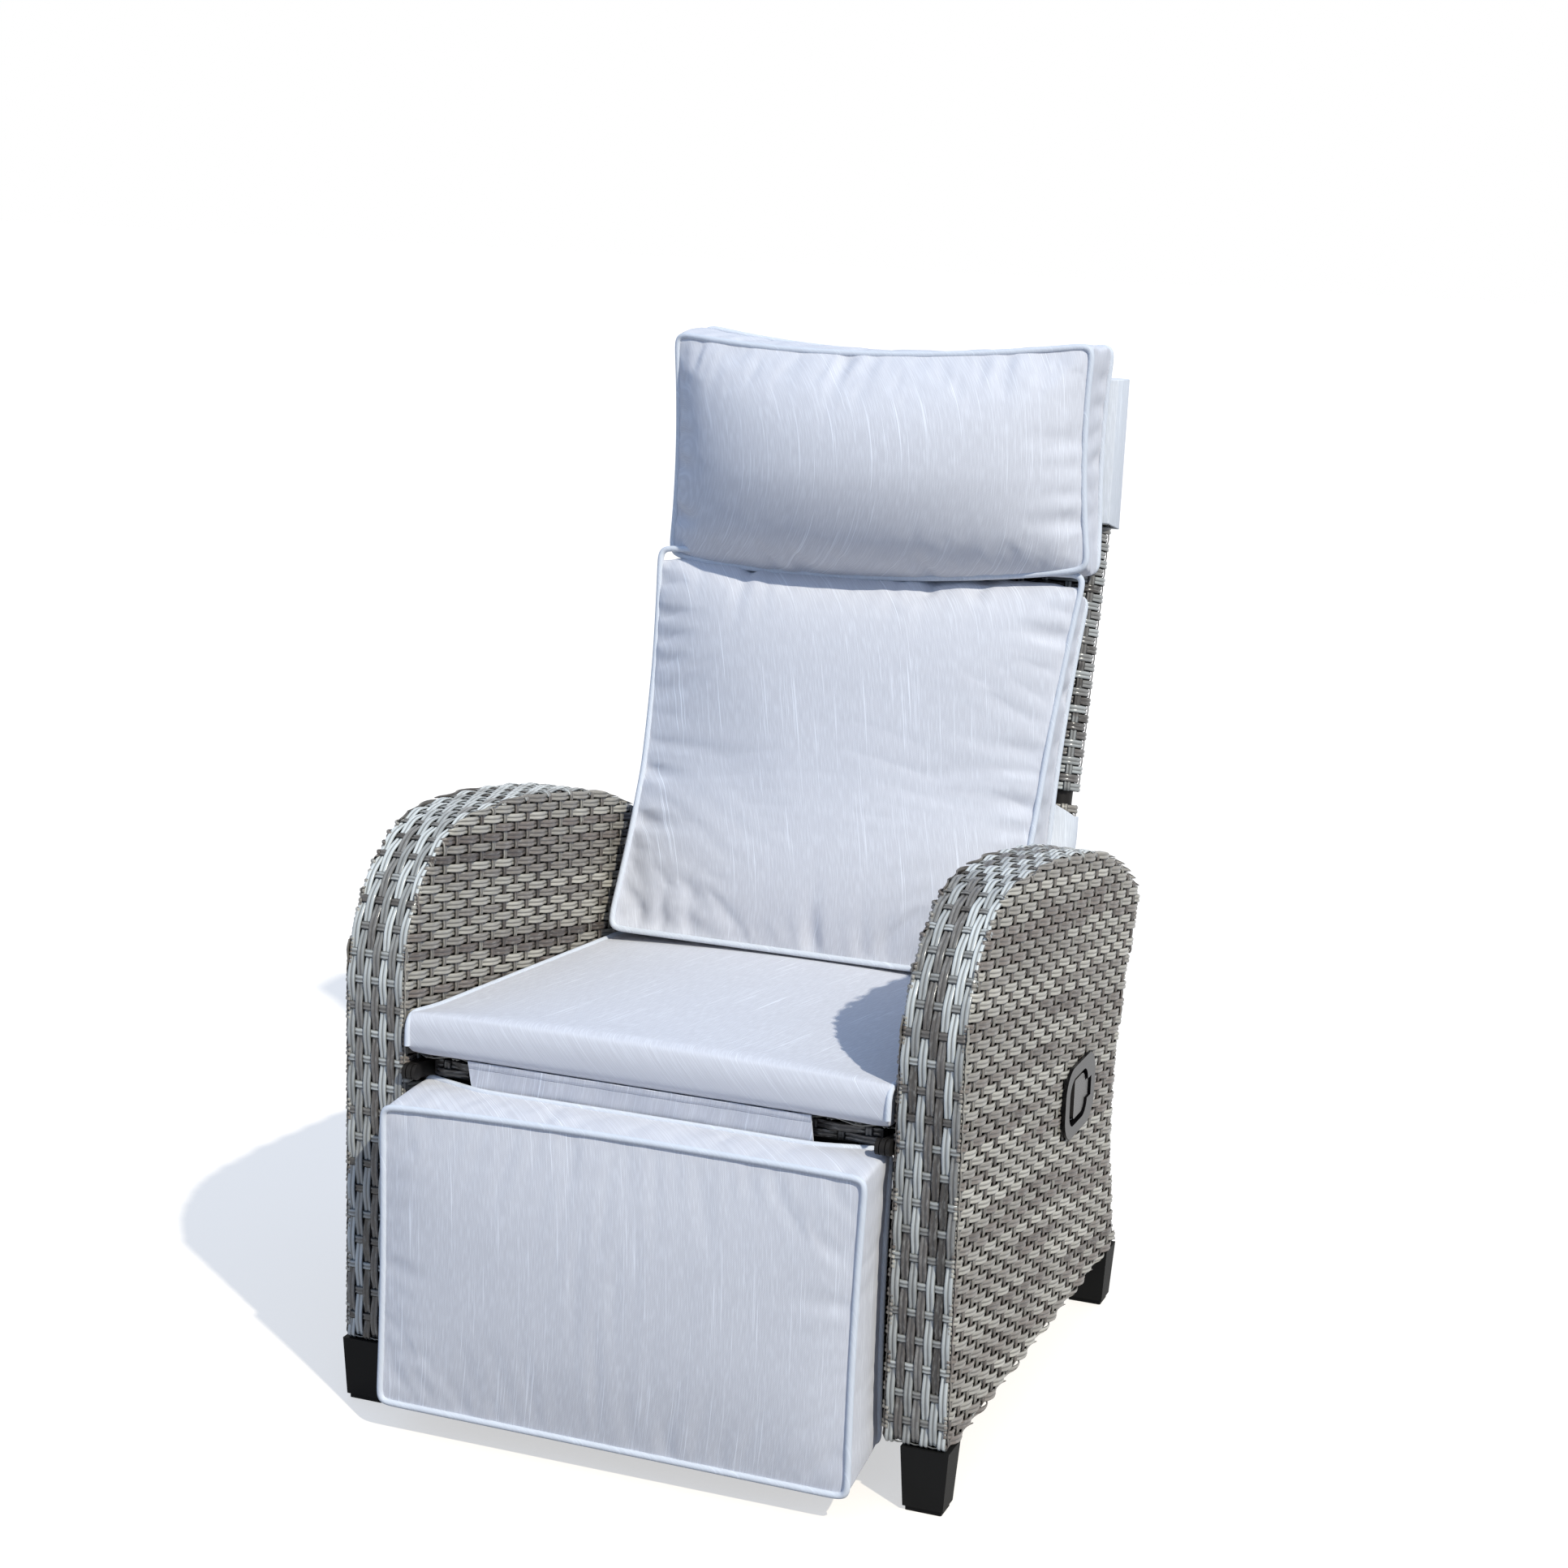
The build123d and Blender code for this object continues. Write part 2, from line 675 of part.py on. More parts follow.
def bar_x(diameter, start, end):
    """A round bar along +X, in the strut's own line."""
    bar = Cylinder(diameter / 2, end - start, align=(Align.CENTER, Align.CENTER, Align.MIN))
    return Pos(start, 0, 0) * Rot(0, 90, 0) * bar


def eye(at, thick):
    return Pos(at, 0, 0) * Rot(90, 0, 0) * Cylinder(strut_eye / 2, thick)


def strut_rod_piece():
    """Rod with its front eye, release head and piston."""
    size, length = release_head
    start = strut_eye / 2 - wall
    front = strut_length - strut_eye - strut_body
    head = Pos(start + length / 2, 0, 0) * Box(length, strut_eye_thick, size)
    rod = bar_x(strut_rod, start + length, front + 2 * strut_cap)
    piston = bar_x(strut_bore - 2 * run_gap, front + strut_cap + touch, front + 2 * strut_cap)
    body = eye(0, strut_eye_thick) + head + rod + piston
    body -= Rot(90, 0, 0) * Cylinder(strut_pin / 2 + run_gap, strut_eye)
    return on_strut(body)


def strut_cylinder_piece():
    """Cylinder with a gland at its front, and a neck with a slotted eye at its rear."""
    rear = strut_length - strut_eye
    front = rear - strut_body
    body = bar_x(strut_tube, front, rear) + eye(strut_length, strut_eye_thick)
    body += Pos(rear + strut_eye / 2 - wall, 0, 0) * Box(strut_eye, strut_eye_thick, strut_eye_thick)
    body -= bar_x(strut_bore, front + strut_cap, rear - strut_cap)
    body -= bar_x(strut_rod + 2 * run_gap, front - over, rear - strut_cap)
    slot = RectangleRounded(strut_slot[0], strut_slot[1], strut_slot[0] / 2 - run_gap)
    body -= Pos(strut_length, 0, 0) * extrude(Plane.XZ * slot, strut_eye, both=True)
    return on_strut(body)


def strut_ears():
    """Two ears behind the strut's cross tube."""
    inner = strut_eye_thick / 2 + ear_gap
    start = strut_tube_at + rail
    middle = strut_tube_height + rail / 2
    face = Pos(strut_pin_y, strut_pin_z) * Circle(strut_eye / 2)
    face += Pos((start + strut_pin_y) / 2, middle) * Rectangle(strut_pin_y - start, strut_eye)
    ear_plate = side_view(face, inner, inner + sheet)
    return both(ear_plate - rod_x(strut_pin_y, strut_pin_z, strut_pin, 0, 2 * strut_eye))


def strut_front_pin():
    half = strut_eye_thick / 2 + ear_gap + sheet
    return rod_x(strut_pin_y, strut_pin_z, strut_pin, -half - ear_gap, half + ear_gap)


# Cushions
def crowned(profile, half, outline):
    """A cushion lofted across the chair, from its seam through its crown to its seam."""
    stations = [(-half, 0), (0, 1), (half, 0)]
    sections = [(Plane.YZ.offset(x) * profile(fill)).face() for x, fill in stations]
    return loft(sections) & outline


def drawn_in(half, low, high, pull):
    """An outline, as (across, along), whose four sides pull in between its corners."""
    corners = [(-half, low), (half, low), (half, high), (-half, high)]
    middle = (low + high) / 2
    middles = [(0, low + pull / 2), (half - pull, middle), (0, high - pull / 2), (-half + pull, middle)]
    edges = [ThreePointArc(corners[i], middles[i], corners[(i + 1) % 4]) for i in range(4)]
    return make_face(edges)


def seat_profile(fill):
    """Side view of the seat cushion, with its crown at fill of its height."""
    drop = seat_crown * (1 - fill)
    top_front = deck_top(seat_front) + seat_thick - drop
    top_back = deck_top(seat_back) + seat_thick - drop
    low_front = deck_top(seat_front)
    side = Line((seat_front, low_front + nose / 2), (seat_front, top_front - nose))
    bend = ThreePointArc(
        side @ 1, (seat_front + nose * (1 - cos(radians(45))), top_front - nose * (1 - sin(radians(45)))),
        (seat_front + nose, top_front))
    crown = ((seat_front + seat_back) / 2, (top_front + top_back + seat_crown) / 2)
    crest = ThreePointArc(bend @ 1, crown, (seat_back, top_back))
    rear = Line(crest @ 1, (seat_back, deck_top(seat_back)))
    base = Line(rear @ 1, (seat_front + nose / 2, deck_top(seat_front + nose / 2)))
    chin = Line(base @ 1, side @ 0)
    return make_face([side, bend, crest, rear, base, chin])


def seat_cushion():
    plan = drawn_in(seat_half, seat_front - over, seat_back + over, draw)
    return crowned(seat_profile, seat_half, extrude(plan, 2 * seat_deck))


def leg_profile(fill):
    """Side view of the leg cushion, flat behind and crowned in front."""
    bulge = (leg_reach + leg_front) * fill + wall
    crown = (leg_front - bulge, (leg_low + leg_high) / 2)
    face = ThreePointArc((leg_front, leg_low), crown, (leg_front, leg_high))
    rest = Polyline((leg_front, leg_high), (leg_back, leg_high), (leg_back, leg_low), (leg_front, leg_low))
    section = make_face([face, rest])
    return fillet(section.vertices(), leg_round)


def leg_cushion():
    outline = front_view(drawn_in(leg_half, leg_low - over, leg_high + over, draw), -2 * leg_reach, leg_reach)
    return crowned(leg_profile, leg_half, outline)


def seat_flap():
    """Strip of cloth from the seat cushion's front edge down to the leg cushion."""
    back = flap_front + flap_thick
    right, left = flap_gap_right - arm_inner, arm_inner - flap_gap_left
    return block(right, left, flap_front, back, flap_low, deck_top(back))


def from_frame(u, out):
    """A point in front of the back's front face, out of it and up along the lean."""
    return back_line(u, -half_thick - touch - out)


def back_profile(fill):
    """Side view of the back cushion: thick at the seat, thin at the waist."""
    bulge = back_crown * (seam_share + (1 - seam_share) * fill)
    foot_u = back_cushion_foot_u()
    mid_u = foot_u + cushion_waist
    top_u = foot_u + cushion_rise
    toe = (seat_toe_y(), seat_top(seat_toe_y()))
    waist = from_frame(mid_u, cushion_mid + bulge)
    lower = ((toe[0] + waist[0] - bulge) / 2, (toe[1] + waist[1]) / 2)
    upper = from_frame((mid_u + top_u) / 2, (cushion_mid + cushion_top) / 2 + bulge)
    shoulder = from_frame(top_u - cushion_round, cushion_top)
    front = Spline(toe, lower, waist, upper, shoulder)
    cap = Line(shoulder, from_frame(top_u, cushion_top - cushion_round))
    top = Line(cap @ 1, from_frame(top_u, 0))
    heel_y = heel()
    rear = Line(top @ 1, (heel_y, seat_top(heel_y)))
    base = Line(rear @ 1, toe)
    return make_face([front, cap, top, rear, base])


def seat_top(y):
    """Just above the highest line of the seat cushion."""
    return deck_top(y) + seat_thick + seat_crown / 2 + touch


def seat_toe_y():
    return from_frame(back_cushion_foot_u(), cushion_foot)[0]


def back_cushion_foot_u():
    """How far up the back its cushion starts."""
    return (seat_top(pivot_y) - pivot_z) / cos(radians(lean))


def heel():
    """Where the back cushion's rear line meets the seat's height."""
    low, high = from_frame(0, 0), from_frame(head_bend / 2, 0)
    slope = (high[0] - low[0]) / (high[1] - low[1])
    y = low[0]
    rise = seat_top(y) - low[1]
    fall = tan(radians(seat_fall))
    return y + rise * slope / (1 + slope * fall)


def back_cushion():
    low = seat_top(seat_back) - over
    high = from_frame(back_cushion_foot_u() + cushion_rise, 0)[1]
    outline = front_view(drawn_in(cushion_half, low - over, high + over, draw), 0, back_reach)
    return crowned(back_profile, cushion_half, outline)


def head_profile(fill):
    """Side view of the head cushion against the hood."""
    bulge = head_crown * fill + wall
    high = head_high - head_sag * fill
    front_top = head_front + (high - head_low) * tan(radians(head_tilt))
    gap = hood_cloth + 2 * touch
    knee = knee_point(-half_thick - gap)
    rear_low = knee[0] - (knee[1] - head_low) * tan(radians(lean))
    rear_high = knee[0] + (high - knee[1]) * tan(radians(head_lean))
    middle = ((head_front + front_top) / 2 - bulge, (head_low + high) / 2)
    face = ThreePointArc((head_front, head_low), middle, (front_top, high))
    heel = (head_front, head_low)
    rest = Polyline((front_top, high), (rear_high, high), knee, (rear_low, head_low), heel)
    section = make_face([face, rest])
    corners = [v for v in section.vertices() if abs(v.Y - knee[1]) > cushion_round]
    return fillet(corners, cushion_round)


def head_cushion():
    outline = front_view(drawn_in(head_half, head_low - over, head_high + over, draw), 0, back_reach)
    return crowned(head_profile, head_half, outline)


def head_hood():
    """The head cushion's pocket, pulled over the top of the back."""
    low_u = head_bend
    gap = touch
    cloth = hood_cloth
    outer = back_layer(low_u, back_top + gap + cloth, -half_thick - gap - cloth, half_thick + gap + cloth)
    inner = back_layer(low_u - over, back_top + gap, -half_thick - gap, half_thick + gap)
    shell = side_view(outer, -back_half - gap - cloth, back_half + gap + cloth)
    return shell - side_view(inner, -back_half - gap, back_half + gap)


def back_strap():
    """The back cushion's strap, wrapped round the back below the gap in its weave."""
    high = strap_low + strap_wide
    outer = back_layer(strap_low, high, -half_thick - touch, half_thick + touch + strap_cloth)
    inner = back_layer(strap_low - over, high + over, -half_thick - over, half_thick + touch)
    ring = side_view(outer, -back_half - touch - strap_cloth, back_half + touch + strap_cloth)
    return ring - side_view(inner, -back_half - touch, back_half + touch)


# Release handle
def handle_outline(long, high, bend):
    return Pos(handle_y, handle_z) * RectangleRounded(long, high, bend)


def handle_bezel():
    """Oval plate with a finger cup behind it and two ears for the lever's pin."""
    back = plate_face - cup_deep
    body = side_view(handle_outline(plate_long, plate_high, plate_round), arm_face, plate_face)
    cup = handle_outline(cup_long + 2 * cup_wall, cup_high + 2 * cup_wall, cup_round + cup_wall)
    body += side_view(cup, back - cup_wall, arm_face)
    body -= side_view(handle_outline(cup_long, cup_high, cup_round), back, arm_face)
    mouth_front = handle_y - cup_long / 2
    mouth = Pos(mouth_front + mouth_long / 2, handle_z) * RectangleRounded(mouth_long, cup_high, cup_round)
    slot_end = handle_y + cup_long / 2
    slot_from = mouth_front + mouth_long - cup_round
    slot = Rectangle(slot_end - slot_from, tab_high + 2 * handle_gap)
    mouth += Pos((slot_from + slot_end) / 2, handle_z) * slot
    body -= side_view(mouth, arm_face - over, plate_face + over)
    for z in (handle_z + ear_half, handle_z - ear_half - ear):
        lug = block(pin_x - knuckle / 2, arm_face, pin_y - knuckle / 2, slot_end, z, z + ear)
        body += lug - upright(pin_x, pin_y, handle_pin, z - over, z + ear + over)
    return body


def handle_lever():
    """Paddle with a narrow tab back to its knuckle on the upright pin."""
    outer = plate_face - paddle_set
    inner = outer - paddle_thick
    rear = handle_y - cup_long / 2 + mouth_long - paddle_rear_gap
    paddle = Pos(rear - paddle_long / 2, handle_z) * RectangleRounded(paddle_long, paddle_high, paddle_round)
    front_half = RectangleRounded(paddle_long / 2, paddle_high, knuckle / 2)
    paddle += Pos(rear - paddle_long * 3 / 4, handle_z) * front_half
    tab_from = rear - paddle_round / 2
    tab = Pos((tab_from + pin_y) / 2, handle_z) * Rectangle(pin_y - tab_from, tab_high)
    body = side_view(paddle, inner, outer) + side_view(tab, inner, outer)
    low = handle_z - ear_half + touch
    high = handle_z + ear_half - touch - spring_turns * spring_pitch - 2 * spring_wire
    body += upright(pin_x, pin_y, knuckle, low, high)
    return body - upright(pin_x, pin_y, handle_pin + 2 * run_gap, low - over, high + over)


def handle_hinge_pin():
    half = ear_half + ear
    return upright(pin_x, pin_y, handle_pin, handle_z - half, handle_z + half)


def handle_spring():
    """Small return spring round the pin, between the knuckle and the upper ear."""
    height = spring_turns * spring_pitch
    coil = Helix(spring_pitch, height, spring_radius)
    wire = sweep(Plane(origin=coil @ 0, z_dir=coil % 0) * Circle(spring_wire / 2), path=coil, is_frenet=True)
    return Pos(pin_x, pin_y, handle_z + ear_half - height - spring_wire / 2) * wire


def release_cable():
    """Cable from the handle's cup, under the seat, to the strut's release head."""
    cup_back = plate_face - cup_deep - cup_wall
    head_side = strut_eye_thick / 2 + cable_end_gap
    route = [(cup_back, handle_y, cable_z), *cable_runs, (head_side, *cable_end)]
    radii = []
    for before, here, after in zip(route, route[1:], route[2:]):
        run_in, run_out = Vector(*here) - Vector(*before), Vector(*after) - Vector(*here)
        turn = radians(run_in.get_angle(run_out))
        radii.append(cable_bend_share * min(run_in.length, run_out.length) / tan(turn / 2))
    path = FilletPolyline(*route, radius=radii)
    tube = sweep(Plane(origin=path @ 0, z_dir=path % 0) * Circle(cable / 2), path=path)
    expected = path.length * pi * cable ** 2 / 4
    print("cable", round(path.length), "volume", round(tube.volume), "of", round(expected))
    return tube


def weave_courses():
    """Shallow grooves between the main courses of an arm's outer weave."""
    grooves = []
    for i in range(int((arm_height - foot_height) / course) + 2):
        middle = Pos(waist_depth / 2, foot_height + (i - 1 / 2) * course) * Rot(0, 0, -course_fall)
        groove = middle * Rectangle(2 * waist_depth, course_wide)
        grooves.append(side_view(groove, arm_face - course_deep, arm_face + over))
    return grooves


def arm_outer_weave(with_handle):
    panel = side_view(arm_outline(0, corner_round, low_round), arm_face - weave, arm_face) - weave_courses()
    if with_handle:
        cup = handle_outline(cup_long + 2 * cup_wall, cup_high + 2 * cup_wall, cup_round + cup_wall)
        panel -= side_view(offset(cup, run_gap), arm_face - weave - over, arm_face + over)
    return panel


def arm_inner_weave(with_cable):
    panel = side_view(arm_outline(0, corner_round, low_round), arm_inner, arm_inner + weave) - seat_holes()
    if with_cable:
        panel -= rod_x(handle_y, cable_z, cable + 2 * touch, arm_inner - over, arm_inner + weave + over)
    return panel


def mirrored(*pieces):
    return [mirror(piece, about=Plane.YZ) for piece in pieces]


os.makedirs("parts", exist_ok=True)

write_pair("arm_frame", *arm_frame())
write("arm_outer_weave_left", arm_outer_weave(True))
write("arm_outer_weave_right", *mirrored(arm_outer_weave(False)))
write("arm_inner_weave_left", arm_inner_weave(True))
write("arm_inner_weave_right", *mirrored(arm_inner_weave(False)))
write_pair("arm_band_weave", arm_band())
write_pair("front_foot", foot(True))
write_pair("rear_foot", foot(False))
write("foot_glides", *both(foot_glide(True), foot_glide(False)))
write("foot_bolts", *both(foot_screw(True), foot_screw(False)))

write("seat_front_rail", cross_rail(front_rail_at))
write("seat_rear_rail", cross_rail(rear_rail_at))
write_pair("seat_side_rail", side_rail())
write("seat_front_lip", *seat_lip())
write("seat_weave", seat_weave())
write("seat_apron_weave", seat_apron())
write("seat_bolts", *both(*seat_bolts()))
write("base_front_tube", tube_x(arm_inner, base_front_at, base_height, rail))
write("base_rear_tube", tube_x(arm_inner, waist_depth - base_rear_in, base_height, rail))
write("strut_cross_tube", tube_x(arm_inner, strut_tube_at, strut_tube_height, rail))
write("strut_ears", *strut_ears())
write("strut_front_pin", strut_front_pin())
write("back_hinge_brackets", *both(back_bracket()))
write("leg_hinge_brackets", *both(leg_bracket()))
write("leg_pivot_bolts", *both(leg_bolt()))
write("seat_cushion", seat_cushion())
write("seat_leg_flap", seat_flap())

write("handle_bezel", handle_bezel())
write("handle_lever", handle_lever())
write("handle_pin", handle_hinge_pin())
write("handle_spring", handle_spring())
write("release_cable", release_cable())

write("back_frame", back_frame())
write("back_front_weave", *woven_panel(-half_thick, -edge_tube / 2))
write("back_rear_weave", *woven_panel(edge_tube / 2, half_thick))
write_pair("back_edge_weave", *edge_weave())
write("back_lever_plates", *both(lever_plate()))
write("back_pivot_studs", *both(back_stud()))
write("link_rear_pins", *both(link_rear_pin()))
write("strut_lever", *both(strut_cheek()))
write("strut_rear_pin", strut_rear_pin())
write("back_cushion", back_cushion())
write("head_cushion", head_cushion())
write("head_hood", head_hood())
write("back_strap", back_strap())

write("leg_frame", leg_frame())
write("leg_weave", leg_panel())
write("leg_hinge_plates", *both(leg_plate()))
write("link_front_pins", *both(link_front_pin()))
write("leg_cushion", leg_cushion())

write("push_links", *both(push_link()))
write("strut_rod", strut_rod_piece())
write("strut_cylinder", strut_cylinder_piece())
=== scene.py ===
# %% [markdown]
# A reclining patio chair, dressed for its portrait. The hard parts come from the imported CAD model,
# and this lesson adds what makes them look real: strands woven over stakes, and cushions that swell
# against their seams. Everything is in metres, Z is up and the sitter looks along -Y.

import json
import math

import bpy
import numpy as np
from mathutils import Matrix, Vector

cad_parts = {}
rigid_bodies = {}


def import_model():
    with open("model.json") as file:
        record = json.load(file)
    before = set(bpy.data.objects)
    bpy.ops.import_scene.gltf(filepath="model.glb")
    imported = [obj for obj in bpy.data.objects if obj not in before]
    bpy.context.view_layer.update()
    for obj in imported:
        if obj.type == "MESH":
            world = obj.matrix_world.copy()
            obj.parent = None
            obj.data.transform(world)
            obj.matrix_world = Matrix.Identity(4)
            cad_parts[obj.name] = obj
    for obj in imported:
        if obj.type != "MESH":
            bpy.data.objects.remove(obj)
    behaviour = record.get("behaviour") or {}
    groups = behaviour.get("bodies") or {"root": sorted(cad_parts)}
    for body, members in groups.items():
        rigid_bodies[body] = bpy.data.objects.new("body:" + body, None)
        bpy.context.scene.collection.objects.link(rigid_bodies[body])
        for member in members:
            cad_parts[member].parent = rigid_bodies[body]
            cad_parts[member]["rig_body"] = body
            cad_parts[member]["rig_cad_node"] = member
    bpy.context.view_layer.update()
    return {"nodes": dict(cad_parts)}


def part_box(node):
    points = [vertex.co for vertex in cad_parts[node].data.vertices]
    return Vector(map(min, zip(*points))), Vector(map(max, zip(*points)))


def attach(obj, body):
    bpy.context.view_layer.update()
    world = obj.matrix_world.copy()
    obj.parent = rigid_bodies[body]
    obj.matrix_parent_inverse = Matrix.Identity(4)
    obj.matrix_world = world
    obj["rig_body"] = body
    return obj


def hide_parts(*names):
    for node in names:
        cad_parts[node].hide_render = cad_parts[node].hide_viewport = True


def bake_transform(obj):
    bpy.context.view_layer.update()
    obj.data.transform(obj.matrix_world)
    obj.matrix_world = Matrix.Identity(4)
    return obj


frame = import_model()

# %% [markdown]
# The CAD source measures along Y from the front plane of the arms. The chair's origin is in the
# middle of its length, so one number carries such a place over. A few named sizes repeat the CAD's.

# %% Sizes that the pieces share
MM = 0.001
FRONT = -343 * MM            # the arms' front plane
ARM_FACE = 335 * MM          # outer face of an arm
ARM_BACK = 327 * MM          # back of the outer weave, which has no grooves
ARM_INNER = 263 * MM         # its inner face
PIVOT = (576 * MM + FRONT, 334 * MM)     # where the back turns, as (y, z)


def place(x, y, z):
    """A point given in millimetres from the arms' front plane."""
    return Vector((x * MM, y * MM + FRONT, z * MM))


# %% [markdown]
# The camera stands where the photographer stood: a little to the sitter's left, at chest height.
# Its three directions were worked out from the chair's own corners, so they go in as a matrix.

# %% Camera
def look(azimuth, pitch, roll):
    """Right, up and backward directions of a camera with these three turns, in radians."""
    level = math.cos(pitch)
    forward = Vector((-math.sin(azimuth) * level, math.cos(azimuth) * level, -math.sin(pitch)))
    right = Vector((math.cos(azimuth), math.sin(azimuth), 0))
    up = right.cross(forward)
    cosine, sine = math.cos(roll), math.sin(roll)
    return cosine * right + sine * up, cosine * up - sine * right, -forward


scene = bpy.context.scene
eye = place(1132.3, -2625.2, 1362.1)
axes = look(0.3613038, 0.2253411, 0.0329142)
lens = bpy.data.cameras.new("portrait_camera")
camera = bpy.data.objects.new("portrait_camera", lens)
scene.collection.objects.link(camera)
rows = [[axes[c][r] for c in range(3)] + [eye[r]] for r in range(3)]
camera.matrix_world = Matrix(rows + [[0, 0, 0, 1]])
lens.lens, lens.sensor_width = 69.58, 36.0
lens.clip_start, lens.clip_end = 0.1, 50
scene.camera = camera
print("camera at", [round(v, 3) for v in eye])

# %% [markdown]
# Colours are easier to read off a photograph in the 0 to 255 scale of a screen, but a shader wants
# linear light. The first helper turns one into the other. The others add a node to a shader and link
# it, so that a material reads like a sum.

# %% Helpers for materials
def screen(red, green, blue):
    """A screen colour, 0 to 255, as the linear colour that a shader takes."""
    parts = [v / 255 for v in (red, green, blue)]
    return tuple(v / 12.92 if v <= 0.04045 else ((v + 0.055) / 1.055) ** 2.4 for v in parts) + (1.0,)


def add(tree, kind, **settings):
    node = tree.nodes.new(kind)
    for key, value in settings.items():
        setattr(node, key, value)
    return node


def feed(tree, node, socket, source):
    """Links an output to a socket, or writes a plain value to it."""
    if isinstance(source, bpy.types.NodeSocket):
        tree.links.new(source, node.inputs[socket])
    else:
        node.inputs[socket].default_value = source


def calc(tree, operation, first, second=0.0, clamp=False):
    node = add(tree, "ShaderNodeMath", operation=operation, use_clamp=clamp)
    feed(tree, node, 0, first)
    feed(tree, node, 1, second)
    return node.outputs[0]


def times(tree, first, second):
    return calc(tree, "MULTIPLY", first, second)


def plus(tree, first, second, clamp=False):
    return calc(tree, "ADD", first, second, clamp)


def blend_colour(tree, factor, first, second, way="MIX"):
    node = add(tree, "ShaderNodeMix", data_type="RGBA", blend_type=way)
    feed(tree, node, 0, factor)
    feed(tree, node, 6, first)
    feed(tree, node, 7, second)
    return node.outputs[2]


def between(tree, value, low, high):
    """0 below low, 1 above high, smooth between them."""
    node = add(tree, "ShaderNodeMapRange", interpolation_type="SMOOTHSTEP")
    for socket, source in zip((0, 1, 2), (value, low, high)):
        feed(tree, node, socket, source)
    return node.outputs[0]


def xyz(tree, x, y, z):
    node = add(tree, "ShaderNodeCombineXYZ")
    for socket, source in enumerate((x, y, z)):
        feed(tree, node, socket, source)
    return node.outputs[0]


def noise(tree, vector, scale, detail=2.0, rough=0.5):
    node = add(tree, "ShaderNodeTexNoise")
    feed(tree, node, "Vector", vector)
    for socket, value in (("Scale", scale), ("Detail", detail), ("Roughness", rough)):
        node.inputs[socket].default_value = value
    return node.outputs["Fac"]


def new_material(name):
    material = bpy.data.materials.new(name)
    material.use_nodes = True
    return material, material.node_tree, material.node_tree.nodes["Principled BSDF"]


def feed_all(tree, node, **sources):
    """Feeds sockets by their names, written with _ for a space."""
    for socket, source in sources.items():
        feed(tree, node, socket.replace("_", " "), source)


def object_point(tree):
    return add(tree, "ShaderNodeTexCoord").outputs["Object"]


def bump(tree, shader, height, strength, distance):
    node = add(tree, "ShaderNodeBump")
    feed_all(tree, node, Strength=strength, Distance=distance, Height=height)
    feed(tree, shader, "Normal", node.outputs[0])


# %% [markdown]
# The sun stands high to the right and in front of the chair. Its direction is the one whose shadow of
# the arm on the seat, and whose shades on the cushions, come closest to the photograph. Shade on the
# pale cloth is clearly blue, so the sky is blue and the sun nearly neutral. Together they stay near a
# level of one, so a colour renders about as it is written.

# %% Sun
scene.view_settings.view_transform = "Standard"
sun_data = bpy.data.lights.new("clear_sun", "SUN")
sun_data.energy, sun_data.angle = 3.15, math.radians(1.2)
sun_data.color = (1.0, 0.975, 0.88)
sun = bpy.data.objects.new("clear_sun", sun_data)
scene.collection.objects.link(sun)
sun.rotation_euler = Vector((0.56, -0.43, 0.71)).to_track_quat("Z", "Y").to_euler()
print("sun turned to", [round(math.degrees(v)) for v in sun.rotation_euler], "degrees")

# %% [markdown]
# The floor and the sky turn white only where the camera or a shiny surface sees them, and the floor
# keeps the chair's shadow. For other rays the sky is blue and the floor a duller ground, as it was
# under the chair.

# %% Sky and floor
WHITE = (1, 1, 1, 1)


def white_rays(tree):
    """A value that is 1 for camera, mirror and glass rays."""
    path = add(tree, "ShaderNodeLightPath").outputs
    seen = plus(tree, path["Is Camera Ray"], path["Is Glossy Ray"], clamp=True)
    return plus(tree, seen, path["Is Transmission Ray"], clamp=True)


def sky(tree, colour, strength):
    node = add(tree, "ShaderNodeBackground")
    feed_all(tree, node, Color=colour, Strength=strength)
    return node.outputs[0]


world = bpy.data.worlds.new("pale_sky")
scene.world = world
world.use_nodes = True
world.node_tree.nodes.clear()
tree = world.node_tree
sky_mix = add(tree, "ShaderNodeMixShader")
sky_parts = (white_rays(tree), sky(tree, (0.47, 0.65, 1.0, 1), 0.74), sky(tree, WHITE, 1.0))
for socket, source in enumerate(sky_parts):
    feed(tree, sky_mix, socket, source)
feed(tree, add(tree, "ShaderNodeOutputWorld"), "Surface", sky_mix.outputs[0])

bpy.ops.mesh.primitive_plane_add(size=40, location=(0, 0, 0))
floor = bpy.context.active_object
floor.name = "floor"
paint, tree, shader = new_material("pale_floor")
seen = white_rays(tree)
ground = blend_colour(tree, seen, (0.30, 0.28, 0.26, 1), (0.55, 0.50, 0.44, 1))
feed_all(tree, shader, Base_Color=ground, Roughness=0.9, Specular_IOR_Level=0.0,
         Emission_Color=WHITE, Emission_Strength=times(tree, seen, 0.56))
floor.data.materials.append(paint)
print("floor and sky are in place")

# %% [markdown]
# The cushion cloth is a pale grey twill, which the sky tints blue. Thick places in its yarn show as
# thin white streaks, a few centimetres long, that all run one way. A noise that is stretched along
# that way draws them. The effect is used on every cushion, so it is a node group that takes the
# cloth's own directions.

# %% Slub twill group
TWILL = 2.3 * MM             # from rib to rib of the twill


def group_of(name, **sockets):
    """An empty node group with these inputs and outputs, each given as its way and kind."""
    group = bpy.data.node_groups.new(name, "ShaderNodeTree")
    for socket, (way, kind) in sockets.items():
        group.interface.new_socket(name=socket, in_out=way, socket_type="NodeSocket" + kind)
    return group, add(group, "NodeGroupInput").outputs, add(group, "NodeGroupOutput")


